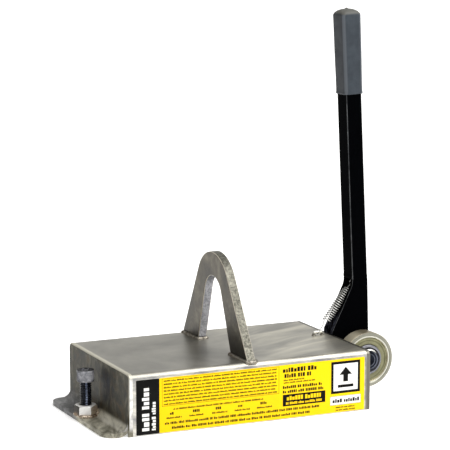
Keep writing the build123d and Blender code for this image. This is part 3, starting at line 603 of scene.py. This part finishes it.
def axle_steel(middle):
    """The axle's dark oiled end, with turned arcs painted light on one side and a bright rim at its top, both
    painted highlights.
    """
    g = Graph("axle_steel", 0.35, 0.28, IOR=1.1)
    reach = g.math("DIVIDE", g.distance_to(middle, (1, 0, 1)), 12.7 * MM)
    arcs = g.ramp(reach, [
        (0.50, 0.0), (0.54, 0.7), (0.58, 0.7), (0.62, 0.0),
        (0.74, 0.0), (0.78, 1.0), (0.84, 1.0), (0.88, 0.0),
    ])
    # Painted highlight on the turned arcs towards one side.
    side = g.near(middle + Vector((9, 0, -2)) * MM, 5 * MM, 15 * MM, (1, 0, 1))
    wear = g.cloud(260.0, 4, 0.6)
    dark = g.ramp(wear, [(0.4, (0.004, 0.005, 0.008)), (0.7, (0.016, 0.018, 0.027))])
    base = g.mix(g.times(arcs, side), dark, (0.13, 0.14, 0.175))
    # Painted highlight on the rim at the top.
    rim = g.ramp(reach, [(0.86, 0.0), (0.90, 1.0)])
    top = g.near(middle + Vector((1.5, 0, 12)) * MM, 4 * MM, 10 * MM, (1, 0, 1))
    base = g.mix(g.times(rim, top), base, (0.78, 0.77, 0.72))
    return g.finish(base, g.span(wear, 0.36, 0.22), g.bump(wear, 0.15, 0.0001))


def spring_wire():
    """Bright spring wire, with painted shade on the side away from the lever."""
    g = Graph("spring_wire", 0.4, 0.28)
    grain = g.cloud(900.0, 3, 0.6)
    bright = g.span(grain, (0.70, 0.70, 0.67), (0.95, 0.95, 0.92))
    # Painted shade on the side that faces -X.
    base = g.mix(g.away("X", 0.40, 0.95), bright, (0.07, 0.07, 0.066))
    return g.finish(base, g.span(grain, 0.36, 0.22), g.bump(grain, 0.1, 0.00003))


def staple_wire(roof):
    """The staple's zinc wire, darker towards its feet."""
    g = Graph("staple_wire", 0.6, 0.30)
    soot = g.cloud(400.0, 4, 0.6)
    zinc = g.span(soot, (0.72, 0.71, 0.66), (0.92, 0.91, 0.86))
    base = g.mix(g.rise(g.axis("Z"), roof + 1.6 * MM, roof + 3.6 * MM), (0.16, 0.15, 0.12), zinc)
    return g.finish(base, g.span(soot, 0.42, 0.24), g.bump(soot, 0.15, 0.0001))


def cast_resin(name, colour):
    g = Graph(name, 0.0, 0.5)
    clouds = g.cloud(60.0, 5, 0.6)
    low = tuple(c * 0.6 for c in colour)
    return g.finish(g.span(clouds, low, colour), g.span(clouds, 0.6, 0.4),
                    g.bump(clouds, 0.3, 0.0004))


def repaint(material, *names):
    """Gives CAD nodes a material in place of their plain one."""
    for name in names:
        mesh = nodes[name].data
        mesh.materials.clear()
        mesh.materials.append(material)


def place_piece(piece, body, slot, *replaced):
    """Rides a piece on its body and hides the CAD nodes that it stands for. The slot is not used."""
    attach(piece, body)
    if replaced:
        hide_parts(*replaced)


# Where things are, from the frame

shell_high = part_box("housing_shell")[1]
toe_low, toe_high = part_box("toe_end_plate")
end_low, end_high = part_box("lever_end_plate")
nut_low, nut_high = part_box("jack_nut")
screw_low, screw_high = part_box("jack_screw")
lever_low, lever_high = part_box("lever_bar")
staple_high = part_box("spring_staple")[1]
pin_low, pin_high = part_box("spring_pin")
ROOF = shell_high.z
toe_wall = toe_high.x - (end_high.x - end_low.x)
BEND = 6 * MM
axle = Vector(joints["front_roller_spin"]["pos_m"])
pivot = Vector(joints["lever_tilt"]["pos_m"])

CHEEK_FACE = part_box("front_cheek")[0].y
HEEL = Vector((end_high.x - 1 * MM, pivot.y + 4 * MM, ROOF + 10 * MM))
LABEL_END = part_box("rating_label")[1].x
BARE = shell_material()
WELD = weld_material()
PAINT = black_paint()


RIPPLE_STEPS = 6


def roof_height(y):
    """The housing's outer surface above a place, round the bend at either side."""
    over = abs(y) - (shell_high.y - BEND)
    if over <= 0:
        return ROOF
    return ROOF - BEND + math.sqrt(max(BEND * BEND - over * over, 0.0))


def bead(points, radius, pitch, seed):
    """A weld bead round a closed route: a ripple at each pitch, and an uneven width."""
    draw = random.Random(seed)
    route = resample(points, pitch / RIPPLE_STEPS, True)
    radii = []
    swell = 1.0
    for i in range(len(route)):
        phase = (i % RIPPLE_STEPS) / RIPPLE_STEPS
        if phase == 0:
            swell = draw.uniform(0.90, 1.08)
        radii.append(radius * swell * (1.0 - 0.16 * phase**2))
    return tube_rings(route, radii, 14, True)


# Lifting eye's welds

EYE_FOOT_INNER = 43.9 * MM
EYE_FOOT_OUTER = 85.2 * MM
EYE_FOOT_X = -0.5 * MM
EYE_HALF = 5.0 * MM
EYE_BEAD = 2.6 * MM
BEAD_STAND_OFF = 0.9 * MM


def eye_welds():
    half_x = EYE_HALF + BEAD_STAND_OFF
    half_y = (EYE_FOOT_OUTER - EYE_FOOT_INNER) / 2 + BEAD_STAND_OFF
    middle = (EYE_FOOT_OUTER + EYE_FOOT_INNER) / 2
    beads = []
    for side in (-1, 1):
        points = []
        for point in rounded_loop(half_x, half_y, 2 * MM):
            y = side * middle + point.y
            points.append(Vector((EYE_FOOT_X + point.x, y, roof_height(y))))
        beads.append(bead(points, EYE_BEAD, 3.2 * MM, 11 + side))
    return skin("eye_weld_bead", [WELD], 60, *beads)


place_piece(eye_welds(), "housing", "weld_metal", "eye_weld_beads")

# Jack nut, its weld and the screw

JACK_CENTRE = Vector(((nut_low.x + nut_high.x) / 2, (nut_low.y + nut_high.y) / 2, 0))
NUT_APOTHEM = 11.1 * MM
NUT_TURN = math.radians(5.4)
JACK_PLACE = Matrix.Translation(JACK_CENTRE) @ Matrix.Rotation(NUT_TURN, 4, "Z")
FLANGE_TOP = nut_low.z
FLANGE_BEND = 10 * MM
NUT_CHAMFER = 2.0 * MM
NUT_BEAD = 2.3 * MM
THREAD_PITCH = 1.95 * MM
THREAD_RADIUS = 6.35 * MM
THREAD_ROOT = 5.45 * MM
HEX_SIDES = 6


def hexagon(apothem, turn=0.0):
    """The radius of a hexagon with that half width, as a function of the angle."""
    sector = TURN / HEX_SIDES

    def radius(angle):
        return apothem / math.cos((angle - turn + sector / 2) % sector - sector / 2)

    return radius


def limited(first, limit):
    return lambda angle: min(first(angle), limit)


def thread(height, outer, root):
    """A screw thread's radius round the shank at a height."""
    def radius(angle):
        turn = (height / THREAD_PITCH - angle / TURN) % 1.0
        depth = min(1.0, max(0.0, 1.35 * (1 - abs(2 * turn - 1)) - 0.15))
        return root + (outer - root) * depth

    return radius


def flange_height(x):
    """The toe flange's upper surface, rising round its bend into the end wall."""
    over = x - (toe_wall - FLANGE_BEND)
    if over <= 0:
        return FLANGE_TOP
    return FLANGE_TOP + FLANGE_BEND - math.sqrt(max(FLANGE_BEND**2 - over**2, 0.0))


def jack_nut():
    side = hexagon(NUT_APOTHEM)
    corner = NUT_APOTHEM / math.cos(TURN / 12)
    top, foot = nut_high.z, nut_low.z
    bore = THREAD_RADIUS + 0.06 * MM
    rows = [(foot + 0.3 * MM, bore), (foot, bore + 0.3 * MM)]
    rows += [(foot, limited(side, corner)), (top - NUT_CHAMFER, side)]
    for i in range(9):
        share = i / 8
        limit = corner - share * (corner - NUT_APOTHEM * 0.955)
        rows.append((top - NUT_CHAMFER * (1 - share) ** 1.4, limited(side, limit)))
    rows += [(top, bore + 0.9 * MM), (top - 0.9 * MM, bore)]
    return skin("jack_nut_zinc", [nut_material(foot)], 28, revolve(rows, 96, JACK_PLACE))


def nut_weld():
    spread = NUT_APOTHEM + 1.3 * MM
    points = []
    for i in range(72):
        angle = TURN * i / 72
        reach = min(hexagon(spread, NUT_TURN)(angle), spread * 1.08)
        x = max(JACK_CENTRE.x + reach * math.cos(angle), toe_low.x + NUT_BEAD)
        y = JACK_CENTRE.y + reach * math.sin(angle)
        points.append(Vector((x, y, flange_height(x) + 0.5 * MM)))
    burnt = weld_material("burnt_weld", (0.20, 0.14, 0.09), (0.85, 0.74, 0.60))
    return skin("jack_nut_bead", [burnt], 60, bead(points, NUT_BEAD, 3.0 * MM, 5))


HEAD_FOOT = 43 * MM
HEAD_RADIUS = 9.525 * MM
SOCKET_APOTHEM = 4.76 * MM
SOCKET_DEPTH = 6.4 * MM
KNURLS = 60


def knurl(depth):
    """The grooved side of a screw head, as a radius round it."""
    return lambda angle: HEAD_RADIUS - depth * (0.5 + 0.5 * math.cos(KNURLS * angle)) ** 0.6


def jack_screw():
    tip, top = screw_low.z, screw_high.z
    rows = [(tip, 0.5 * MM), (tip, THREAD_ROOT - 0.6 * MM)]
    shank = HEAD_FOOT - tip
    count = round(shank / THREAD_PITCH * 10)
    for i in range(count + 1):
        height = tip + shank * i / count
        lead = min(1.0, (height - tip) / (1.6 * MM))
        outer = THREAD_ROOT - 0.3 * MM + (THREAD_RADIUS - THREAD_ROOT + 0.3 * MM) * lead
        rows.append((height, thread(height, outer, min(THREAD_ROOT, outer - 0.05 * MM))))
    depth = 0.32 * MM
    rows += [
        (HEAD_FOOT, 7.5 * MM),
        (HEAD_FOOT, HEAD_RADIUS - 0.25 * MM),
        (HEAD_FOOT + 0.25 * MM, HEAD_RADIUS),
        (HEAD_FOOT + 1.8 * MM, knurl(0.1 * depth)),
        (HEAD_FOOT + 2.2 * MM, knurl(depth)),
        (top - 2.8 * MM, knurl(depth)),
        (top - 2.4 * MM, knurl(0.1 * depth)),
        (top - 0.5 * MM, HEAD_RADIUS),
        (top - 0.15 * MM, HEAD_RADIUS - 0.15 * MM),
        (top, HEAD_RADIUS - 0.5 * MM),
        (top, SOCKET_APOTHEM + 1.3 * MM),
        (top - 0.7 * MM, hexagon(SOCKET_APOTHEM)),
        (top - SOCKET_DEPTH, hexagon(SOCKET_APOTHEM)),
        (top - SOCKET_DEPTH - 1.6 * MM, 0.4 * MM),
    ]
    lit_side = JACK_CENTRE + Vector((-1.3, -6.2, 0)) * MM
    coats = [black_oxide(lit_side), head_oxide()]
    piece = skin("jack_screw_threaded", coats, 30, revolve(rows, 240, JACK_PLACE), closed=False)
    for face in piece.data.polygons:
        if face.center.z > HEAD_FOOT - 0.1 * MM:
            face.material_index = 1
    return piece


place_piece(jack_nut(), "housing", "zinc_steel", "jack_nut")
place_piece(nut_weld(), "housing", "weld_metal", "jack_nut_weld")
place_piece(jack_screw(), "jack", "black_oxide", "jack_screw")

# Lever: the bar's own frame starts at the middle of its foot

BAR_HALF_X = 9.65 * MM
BAR_HALF_Y = 11.1 * MM
BAR_LEAN = math.radians(-2.76)
BAR_FOOT_Z = 130 * MM
bar_axis = Matrix.Rotation(BAR_LEAN, 4, "Y")
bar_middle = (lever_low + lever_high) / 2
bar_foot_x = bar_middle.x - math.tan(BAR_LEAN) * (bar_middle.z - BAR_FOOT_Z)
BAR_PLACE = Matrix.Translation((bar_foot_x, bar_middle.y, BAR_FOOT_Z)) @ bar_axis


WELD_HEIGHT = 4.6 * MM
GRIP_START = 212 * MM
GRIP_SHOULDER = 300.2 * MM
GRIP_DOME = 7.3 * MM
GRIP_MOUTH_WALL = 2.1 * MM
GRIP_TOP_WALL = 2.45 * MM
GRIP_CORNER = 4.5 * MM
NIB_RINGS = ((3.4, -0.45), (2.3, 0.05), (1.7, 0.55), (1.0, 0.95), (0.3, 1.1))


def bar_ring(grow, corner, height):
    """A rounded ring round the bar at a height up it, larger than the bar all round by an amount."""
    loop = rounded_loop(BAR_HALF_X + grow, BAR_HALF_Y + grow, corner, 10)
    return [BAR_PLACE @ (point + Vector((0, 0, height))) for point in loop]


def lever_weld():
    """The painted weld where the bar meets the fork: nearly flush, with a faint ripple."""
    draw = random.Random(3)
    rows = 12
    rings = [bar_ring(-0.4 * MM, 1.0 * MM, -0.1 * MM)]
    for i in range(rows + 1):
        swell = math.sin(TURN / 2 * i / rows) ** 0.5
        grow = 0.05 * MM + 0.35 * MM * swell * draw.uniform(0.85, 1.0)
        rings.append(bar_ring(grow, 1.4 * MM, WELD_HEIGHT * i / rows))
    rings.append(bar_ring(-0.4 * MM, 1.0 * MM, WELD_HEIGHT + 0.1 * MM))
    return skin("lever_weld_bead", [PAINT], 60, rings, closed=False)


def grip_dome():
    """The grip's closed end: a soft dome, rounder and rounder to its middle, with a small drip on top."""
    rings = []
    steps = 16
    half_x, half_y = BAR_HALF_X + GRIP_TOP_WALL, BAR_HALF_Y + GRIP_TOP_WALL
    for i in range(1, steps):
        angle = TURN / 4 * i / steps
        shrink = math.cos(angle) ** 0.75
        across, along = half_x * shrink, half_y * shrink
        corner = GRIP_CORNER + (0.98 * min(across, along) - GRIP_CORNER) * (i / steps) ** 1.5
        loop = rounded_loop(across, along, min(corner, 0.98 * min(across, along)), 10)
        height = GRIP_SHOULDER + GRIP_DOME * math.sin(angle)
        rings.append([BAR_PLACE @ (point + Vector((0, 0, height))) for point in loop])
    for radius, rise in NIB_RINGS:
        loop = rounded_loop(radius * MM, radius * MM, 0.97 * radius * MM, 10)
        lift = Vector((0, 0, GRIP_SHOULDER + GRIP_DOME + rise * MM))
        rings.append([BAR_PLACE @ (point + lift) for point in loop])
    return rings


def lever_grip():
    """A dipped sleeve: a lip at its mouth, slightly wavy sides that thicken upwards, and a domed end."""
    mouth = GRIP_START
    rings = [
        bar_ring(0.05 * MM, 1.2 * MM, mouth + 60 * MM),
        bar_ring(0.05 * MM, 1.2 * MM, mouth + 0.4 * MM),
        bar_ring(0.35 * MM, 1.6 * MM, mouth),
        bar_ring(GRIP_MOUTH_WALL - 0.4 * MM, GRIP_CORNER - 0.4 * MM, mouth),
        bar_ring(GRIP_MOUTH_WALL, GRIP_CORNER, mouth + 0.5 * MM),
        bar_ring(GRIP_MOUTH_WALL + 0.1 * MM, GRIP_CORNER, mouth + 1.6 * MM),
    ]
    count = 26
    for i in range(count + 1):
        share = i / count
        wall = GRIP_MOUTH_WALL - 0.15 * MM + (GRIP_TOP_WALL - GRIP_MOUTH_WALL + 0.15 * MM) * share
        wall -= 0.08 * MM * math.sin(9 * share) * (1 - share)
        height = mouth + 2.6 * MM + (GRIP_SHOULDER - mouth - 2.6 * MM) * share
        rings.append(bar_ring(wall, GRIP_CORNER, height))
    return skin("lever_grip_dipped", [grip_vinyl()], 50, rings + grip_dome(), closed=False)


place_piece(lever_weld(), "lever", "black_paint", "lever_weld")
place_piece(lever_grip(), "lever", "grip_vinyl", "lever_grip")

# Return spring

SPRING_RADIUS = 4.45 * MM
WIRE = 0.56 * MM
SPRING_TURNS = 17
pin_middle = (pin_low + pin_high) / 2
staple_top = Vector((staple_high.x - 6.8 * MM, pin_middle.y, staple_high.z - 1.5 * MM))
spring_axis = (pin_middle - staple_top).normalized()
spring_side = Vector((0, 1, 0))
spring_face = spring_axis.cross(spring_side)
spring_span = (pin_middle - staple_top).length
COIL_START = 15.5 * MM
coil_end = spring_span - 8 * MM


def along_spring(distance, out_side=0.0, out_face=0.0):
    return staple_top + spring_axis * distance + spring_side * out_side + spring_face * out_face


def coil_points():
    points = []
    steps = SPRING_TURNS * 28
    for i in range(steps + 1):
        share = i / steps
        angle = TURN * SPRING_TURNS * share
        taper = SPRING_RADIUS * (1 - 0.45 * max(0.0, (share - 0.84) / 0.16) ** 1.5)
        distance = COIL_START + (coil_end - COIL_START) * share
        points.append(along_spring(distance, taper * math.cos(angle), taper * math.sin(angle)))
    return points


def hook_points(middle, radius, inwards, across):
    """An open hook round a middle: most of a circle, from the side that faces the spring."""
    return arc_points(middle, radius, -0.25 * TURN, -1.12 * TURN, 30, across, -inwards)


def smooth_run(points):
    """Rounds the corners of a polyline by cutting them twice, keeping both ends."""
    for _ in range(2):
        cut = [points[0]]
        for a, b in zip(points, points[1:]):
            cut += [a.lerp(b, 0.25), a.lerp(b, 0.75)]
        points = cut + [points[-1]]
    return points


def return_spring():
    lower_radius, upper_radius = 2.3 * MM, 2.75 * MM
    lower = hook_points(staple_top, lower_radius, spring_axis, spring_side)
    upper = hook_points(pin_middle, upper_radius, -spring_axis, spring_face)
    coil = coil_points()
    reach = COIL_START - 1.6 * MM
    lower_bend = [along_spring(reach - 3 * MM, 0.3 * MM), along_spring(reach, SPRING_RADIUS * 0.85)]
    lower_link = [lower[0]] + lower_bend + [coil[0], coil[2]]
    upper_link = [coil[-3], coil[-1], along_spring(coil_end + 2.0 * MM, 0.9 * MM), upper[0]]
    route = lower[::-1] + smooth_run(lower_link) + coil[3:-3] + smooth_run(upper_link) + upper
    route = resample(route, 0.45 * MM)
    rings = tube_rings(route, [WIRE] * len(route), 8)
    return skin("return_spring_coil", [spring_wire()], 60, rings, closed=False)


spring = return_spring()
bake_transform(spring)
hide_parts("return_spring")

# Rollers: rings with a stepped face, and pressed shields

RING_OUTER = 31.75 * MM
RING_BORE = 25.25 * MM
RING_PROFILE = (
    (0.0, 1.5), (0.12, 0.8), (0.5, 0.25), (1.2, 0.0), (3.7, 0.0), (4.1, 0.35), (6.0, 0.35), (6.3, 0.7),
)
SHIELD_OUTER = 25.2 * MM
SHIELD_DEPTH = 0.8 * MM
SHIELD_PROFILE = (
    (0.0, 0.0), (0.5, 0.25), (2.4, 0.25), (2.7, -0.35), (3.2, -0.35),
    (3.5, 0.15), (6.4, 0.15), (7.2, -0.1), (7.6, -0.3),
)
roller_turn = Matrix.Translation((axle.x, 0, axle.z)) @ Matrix.Rotation(-TURN / 4, 4, "X")


def roller_ring(name):
    """The outer ring: ground tread, rounded corners, a step in each face and a plain bore."""
    low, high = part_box(f"{name}_roller_ring")
    front = [(low.y + inset * MM, RING_OUTER - depth * MM) for depth, inset in RING_PROFILE]
    back = [(high.y - inset * MM, RING_OUTER - depth * MM) for depth, inset in reversed(RING_PROFILE)]
    bore = [(high.y - 1.2 * MM, RING_BORE), (low.y + 1.2 * MM, RING_BORE)]
    rings = revolve(back[::-1] + bore + front[::-1], 128, roller_turn)
    return skin(f"{name}_ring_ground", [BEARING], 35, rings)


def shield_rows(outward, face):
    """A pressed shield's section, from its crimped rim in to its bore. Outward is the side it faces."""
    front = [(face + outward * rise * MM, SHIELD_OUTER - depth * MM) for depth, rise in SHIELD_PROFILE]
    back = [(height - outward * 0.45 * MM, radius) for height, radius in reversed(front)]
    return front + back


def roller_shields(name):
    low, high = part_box(f"{name}_roller_shields")
    faces = ((-1, low.y + SHIELD_DEPTH / 2), (1, high.y - SHIELD_DEPTH / 2))
    shells = [revolve(shield_rows(*face), 96, roller_turn) for face in faces]
    return skin(f"{name}_shields_pressed", [SHIELD], 25, *shells)


BEARING = ring_steel(axle)
SHIELD = turned_steel("shield_steel", (0.27, 0.262, 0.155), 0.40, axle)
for name in ("front", "rear"):
    place_piece(roller_ring(name), f"{name}_roller", "bearing_steel", f"{name}_roller_ring")
    place_piece(roller_shields(name), f"{name}_roller", "shield_steel", f"{name}_roller_shields")

# Labels: film with print marks in place of lettering

label_low, label_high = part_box("rating_label")
panel_low, panel_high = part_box("capacity_panel")
FILM = 0.28 * MM
PRINT = 0.035 * MM
UPRIGHT_BOLD = 0.6 / 0.62
BLACK_INK = label_film("label_ink", (0.003, 0.003, 0.003), (0.012, 0.012, 0.011))
YELLOW_FILM = label_film("label_yellow", (0.95, 0.62, 0.005), (0.78, 0.50, 0.015))
WHITE_INK = label_film("label_white", (0.86, 0.86, 0.84), (0.60, 0.58, 0.52))


def film(name, low, high, material):
    """A thin film with rounded corners and a slightly lifted face."""
    half_x, half_z = (high.x - low.x) / 2, (high.z - low.z) / 2
    middle = (low + high) / 2
    back = high.y
    rings = []
    for depth, shrink in ((0.0, 0.0), (FILM * 0.7, 0.0), (FILM, 0.15 * MM)):
        loop = rounded_loop(half_x - shrink, half_z - shrink, 1.2 * MM)
        rings.append([Vector((middle.x + p.x, back - depth, middle.z + p.y)) for p in loop])
    return skin(name, [material], 40, rings, closed=False)


def add_mark(mesh_data, low_x, high_x, low_z, high_z, layer=0, material=0):
    """A printed block: a thin slab on the film, in row X and Z."""
    back = label_high.y - FILM - layer * PRINT
    front = back - PRINT
    ring = [(low_x, low_z), (high_x, low_z), (high_x, high_z), (low_x, high_z)]
    first = len(mesh_data.faces)
    add_rings(mesh_data, [[Vector((x, y, z)) for x, z in ring] for y in (back, front)])
    mesh_data.faces.ensure_lookup_table()
    for face in mesh_data.faces[first:]:
        face.material_index = material


def add_outline(mesh_data, low_x, high_x, low_z, high_z, line):
    """A frame of four blocks."""
    add_mark(mesh_data, low_x, high_x, high_z - line, high_z)
    add_mark(mesh_data, low_x, high_x, low_z, low_z + line)
    add_mark(mesh_data, low_x, low_x + line, low_z + line, high_z - line)
    add_mark(mesh_data, high_x - line, high_x, low_z + line, high_z - line)


def add_line(mesh_data, start, end, foot, height, draw, layer=0, material=0, upright=False):
    """A line of word-like groups of small blocks. Upright lines run up the label, turned a quarter."""
    place = start
    while place < end - height:
        letters = draw.randint(2, 8)
        for _ in range(letters):
            width = height * draw.choice((0.42, 0.55, 0.62))
            if place + width > end:
                break
            rise = height * draw.choice((0.74, 1.0, 1.0))
            if upright:
                add_mark(mesh_data, foot - rise, foot, place, place + width * UPRIGHT_BOLD, layer, material)
            else:
                add_mark(mesh_data, place, place + width, foot, foot + rise, layer, material)
            place += width + height * 0.16
        place += height * 0.42


def add_arrow(mesh_data, centre_x, foot_z, size, layer, material):
    """An upward arrow over a bar, the sign for lifting: stepped slabs make its head."""

    def slab(half, low, high):
        add_mark(mesh_data, centre_x - half, centre_x + half, low, high, layer, material)

    slab(size * 0.13, foot_z + size * 0.28, foot_z + size * 0.62)
    steps = 24
    for i in range(steps):
        low = foot_z + size * (0.62 + 0.38 * i / steps)
        slab(size * 0.34 * (1 - (i + 0.5) / steps), low, low + size * 0.38 / steps)
    slab(size * 0.42, foot_z, foot_z + size * 0.14)


def rating_print():
    """The rating label's print. Places on the label are in mm from its lower left corner."""
    draw = random.Random(42)
    mesh_data = bmesh.new()

    def across(*places):
        return [label_low.x + place * MM for place in places]

    def up(*places):
        return [label_low.z + place * MM for place in places]

    def lines(rows, layer=0, material=0):
        for start, end, foot, height in rows:
            add_line(mesh_data, *across(start, end), *up(foot), height * MM, draw, layer, material)

    def block(left, right, foot, top, layer=0, material=0):
        add_mark(mesh_data, *across(left, right), *up(foot, top), layer, material)

    def outline(left, right, foot, top, line):
        add_outline(mesh_data, *across(left, right), *up(foot, top), line * MM)

    outline(3, 140.5, 28.5, 58.5, 0.35)
    lines([(5, 138, 55 - 3.6 * i, 1.75) for i in range(8)])
    lines([(16, 122, 23.6, 1.9)])
    for i in range(5):
        column = 8 + 26.5 * i
        lines([(column + 4, column + 12, 18.6, 3.0), (column, column + 19, 14.4, 1.9)])
    lines([(6, 192, 8.4, 2.7), (14, 180, 3.0, 2.7)])
    lines([(145, 188, 51.0, 5.0), (147, 180, 45.0, 4.4)])
    lines([(146, 172, 41.6, 1.6), (146, 184, 38.8, 1.6)])
    lines([(145, 196, 33.0, 3.2), (145, 196, 28.0, 3.2)])
    block(145, 197, 13.4, 26.4)
    lines([(150, 193, 19.8, 4.6), (149, 194, 15.2, 2.6)], 1, 1)
    block(204, 240, 21, 57)
    block(207, 237, 24, 54, 1, 2)
    add_arrow(mesh_data, *across(222), *up(27.5), 23 * MM, 2, 0)
    block(203, 241, 8.2, 18.2, 0, 2)
    outline(203, 241, 8.2, 18.2, 0.3)
    lines([(206, 239, 10.8, 4.2)], 1)
    lines([(210, 235, 4.6, 1.5), (210, 235, 1.6, 1.5)])
    return finish_mesh("rating_label_print", mesh_data, [BLACK_INK, YELLOW_FILM, WHITE_INK], 30)


def capacity_print():
    """The panel's two upright lines, in mm from its lower left corner."""
    draw = random.Random(7)
    mesh_data = bmesh.new()
    for foot, height, start, end in ((14.6, 8.0, 4, 4), (22.0, 4.4, 4, 22)):
        low, high = panel_low.z + start * MM, panel_high.z - end * MM
        place = panel_low.x + foot * MM
        add_line(mesh_data, low, high, place, height * MM, draw, upright=True)
    return finish_mesh("capacity_panel_print", mesh_data, [WHITE_INK], 30)


rating_film = film("rating_label_film", label_low, label_high, YELLOW_FILM)
capacity_film = film("capacity_panel_film", panel_low, panel_high, BLACK_INK)
place_piece(rating_film, "housing", "label_yellow", "rating_label")
place_piece(capacity_film, "housing", "label_black", "capacity_panel")
place_piece(rating_print(), "housing", "label_black")
place_piece(capacity_print(), "housing", "label_black")

# Materials of the CAD nodes that stay

RACE = race_steel(axle)
SHAFT = turned_steel("turned_steel", (0.48, 0.48, 0.47), 0.30, axle)
CORE = plain_steel("core_steel", (0.42, 0.42, 0.42), 0.34, (6, 500, 500))

repaint(BARE, "housing_shell", "pivot_lug")
repaint(toe_material(Vector((toe_wall, 0, screw_high.z / 2))), "toe_end_plate")
repaint(lever_end_material(), "lever_end_plate")
repaint(eye_material(), "lifting_eye")
repaint(WELD, "lug_weld")
repaint(CORE, "yoke_plate", "pole_shoes")
repaint(cast_resin("magnet_ceramic", (0.06, 0.06, 0.065)), "magnet_blocks")
repaint(cast_resin("potting_resin", (0.03, 0.03, 0.035)), "potting_ring")
repaint(plain_steel("spacer_brass", (0.66, 0.50, 0.24), 0.34, (6, 400, 400)), "pole_spacers")
repaint(plain_steel("bush_bronze", (0.50, 0.33, 0.16), 0.42), "pivot_bush")
repaint(plain_steel("core_screw_oxide", (0.05, 0.05, 0.055), 0.4), "core_screws")
repaint(PAINT, "lever_bar", "front_cheek", "rear_cheek", "fork_web", "spring_pin")
repaint(SHAFT, "pivot_pin", "spacer_washers")
repaint(axle_steel(axle), "roller_axle")
repaint(plain_steel("clip_phosphate", (0.035, 0.035, 0.04), 0.38), "axle_clips")
repaint(staple_wire(ROOF), "spring_staple")
BALLS = plain_steel("ball_steel", (0.75, 0.75, 0.76), 0.10)
CAGE = plain_steel("cage_steel", (0.52, 0.50, 0.44), 0.35)
for name in ("front", "rear"):
    repaint(RACE, f"{name}_inner_ring")
    repaint(BALLS, f"{name}_balls")
    repaint(CAGE, f"{name}_ball_cage")

# Stage, light and camera


FLOOR_HALF = 60.0
FLOOR_Z = -0.4 * MM


def stage_floor():
    """A pale floor just under the magnet. It glows a little, which keeps the shadow on it pale."""
    glow = {"Emission_Color": (1, 1, 1, 1), "Emission_Strength": 0.4}
    g = Graph("studio_floor", 0.0, 0.85, Specular_IOR_Level=0.1, **glow)
    grain = g.cloud(40.0, 3, 0.5)
    material = g.finish(g.span(grain, (0.90, 0.90, 0.90), (0.92, 0.92, 0.92)))
    mesh_data = bmesh.new()
    corners = [(x * FLOOR_HALF, y * FLOOR_HALF, FLOOR_Z) for x, y in ((-1, -1), (1, -1), (1, 1), (-1, 1))]
    mesh_data.faces.new([mesh_data.verts.new(corner) for corner in corners])
    finish_mesh("studio_floor", mesh_data, [material])


def area_light(name, place, target, size, power, colour):
    data = bpy.data.lights.new(name, "AREA")
    data.shape = "RECTANGLE"
    data.size, data.size_y = size
    data.energy = power
    data.color = colour
    light = bpy.data.objects.new(name, data)
    light.location = place
    light.rotation_euler = (Vector(target) - Vector(place)).to_track_quat("-Z", "Y").to_euler()
    bpy.context.scene.collection.objects.link(light)


def soft_sun(direction, strength, spread):
    data = bpy.data.lights.new("soft_sun", "SUN")
    data.energy = strength
    data.angle = math.radians(spread)
    light = bpy.data.objects.new("soft_sun", data)
    light.rotation_euler = Vector(direction).to_track_quat("-Z", "Y").to_euler()
    bpy.context.scene.collection.objects.link(light)


def studio_world():
    """Bright towards +X, darker towards -X, and white where the camera looks past the object."""
    world = bpy.data.worlds.new("studio")
    world.use_nodes = True
    bpy.context.scene.world = world
    tree = world.node_tree
    background = tree.nodes["Background"]
    direction = tree.nodes.new("ShaderNodeTexCoord").outputs["Generated"]
    split = tree.nodes.new("ShaderNodeSeparateXYZ")
    tree.links.new(direction, split.inputs[0])
    ramp = tree.nodes.new("ShaderNodeValToRGB")
    stretch = tree.nodes.new("ShaderNodeMapRange")
    stretch.inputs["From Min"].default_value = -1.0
    tree.links.new(split.outputs["X"], stretch.inputs["Value"])
    tree.links.new(stretch.outputs["Result"], ramp.inputs["Fac"])
    ramp.color_ramp.elements[0].position = 0.15
    ramp.color_ramp.elements[0].color = (0.28, 0.27, 0.25, 1)
    ramp.color_ramp.elements[1].position = 0.75
    ramp.color_ramp.elements[1].color = (0.80, 0.80, 0.79, 1)
    seen = tree.nodes.new("ShaderNodeLightPath").outputs["Is Camera Ray"]
    mix = tree.nodes.new("ShaderNodeMix")
    mix.data_type = "RGBA"
    tree.links.new(seen, mix.inputs[0])
    tree.links.new(ramp.outputs["Color"], mix.inputs[6])
    mix.inputs[7].default_value = (1, 1, 1, 1)
    tree.links.new(mix.outputs[2], background.inputs["Color"])


CAMERA_AZIMUTH = math.radians(-24.64)
CAMERA_ELEVATION = math.radians(9.215)
CAMERA_PLACE = (-0.9178, -2.0182, 0.5630)
CAMERA_LENS = 162.9


def photo_camera():
    data = bpy.data.cameras.new("camera")
    data.sensor_width = 36.0
    data.lens = CAMERA_LENS
    camera = bpy.data.objects.new("camera", data)
    camera.location = CAMERA_PLACE
    level = math.cos(CAMERA_ELEVATION)
    sine, cosine = math.sin(CAMERA_AZIMUTH), math.cos(CAMERA_AZIMUTH)
    back = Vector((sine * level, -cosine * level, math.sin(CAMERA_ELEVATION)))
    camera.rotation_euler = (-back).to_track_quat("-Z", "Y").to_euler()
    bpy.context.scene.collection.objects.link(camera)
    bpy.context.scene.camera = camera


stage_floor()
studio_world()
soft_sun((-0.35, 0.45, -1.0), 2.2, 50)
area_light("key", (0.9, -1.5, 1.5), (0, 0, 0.1), (1.2, 1.2), 12, (1.0, 0.98, 0.95))
photo_camera()
bpy.context.scene.view_settings.view_transform = "Standard"
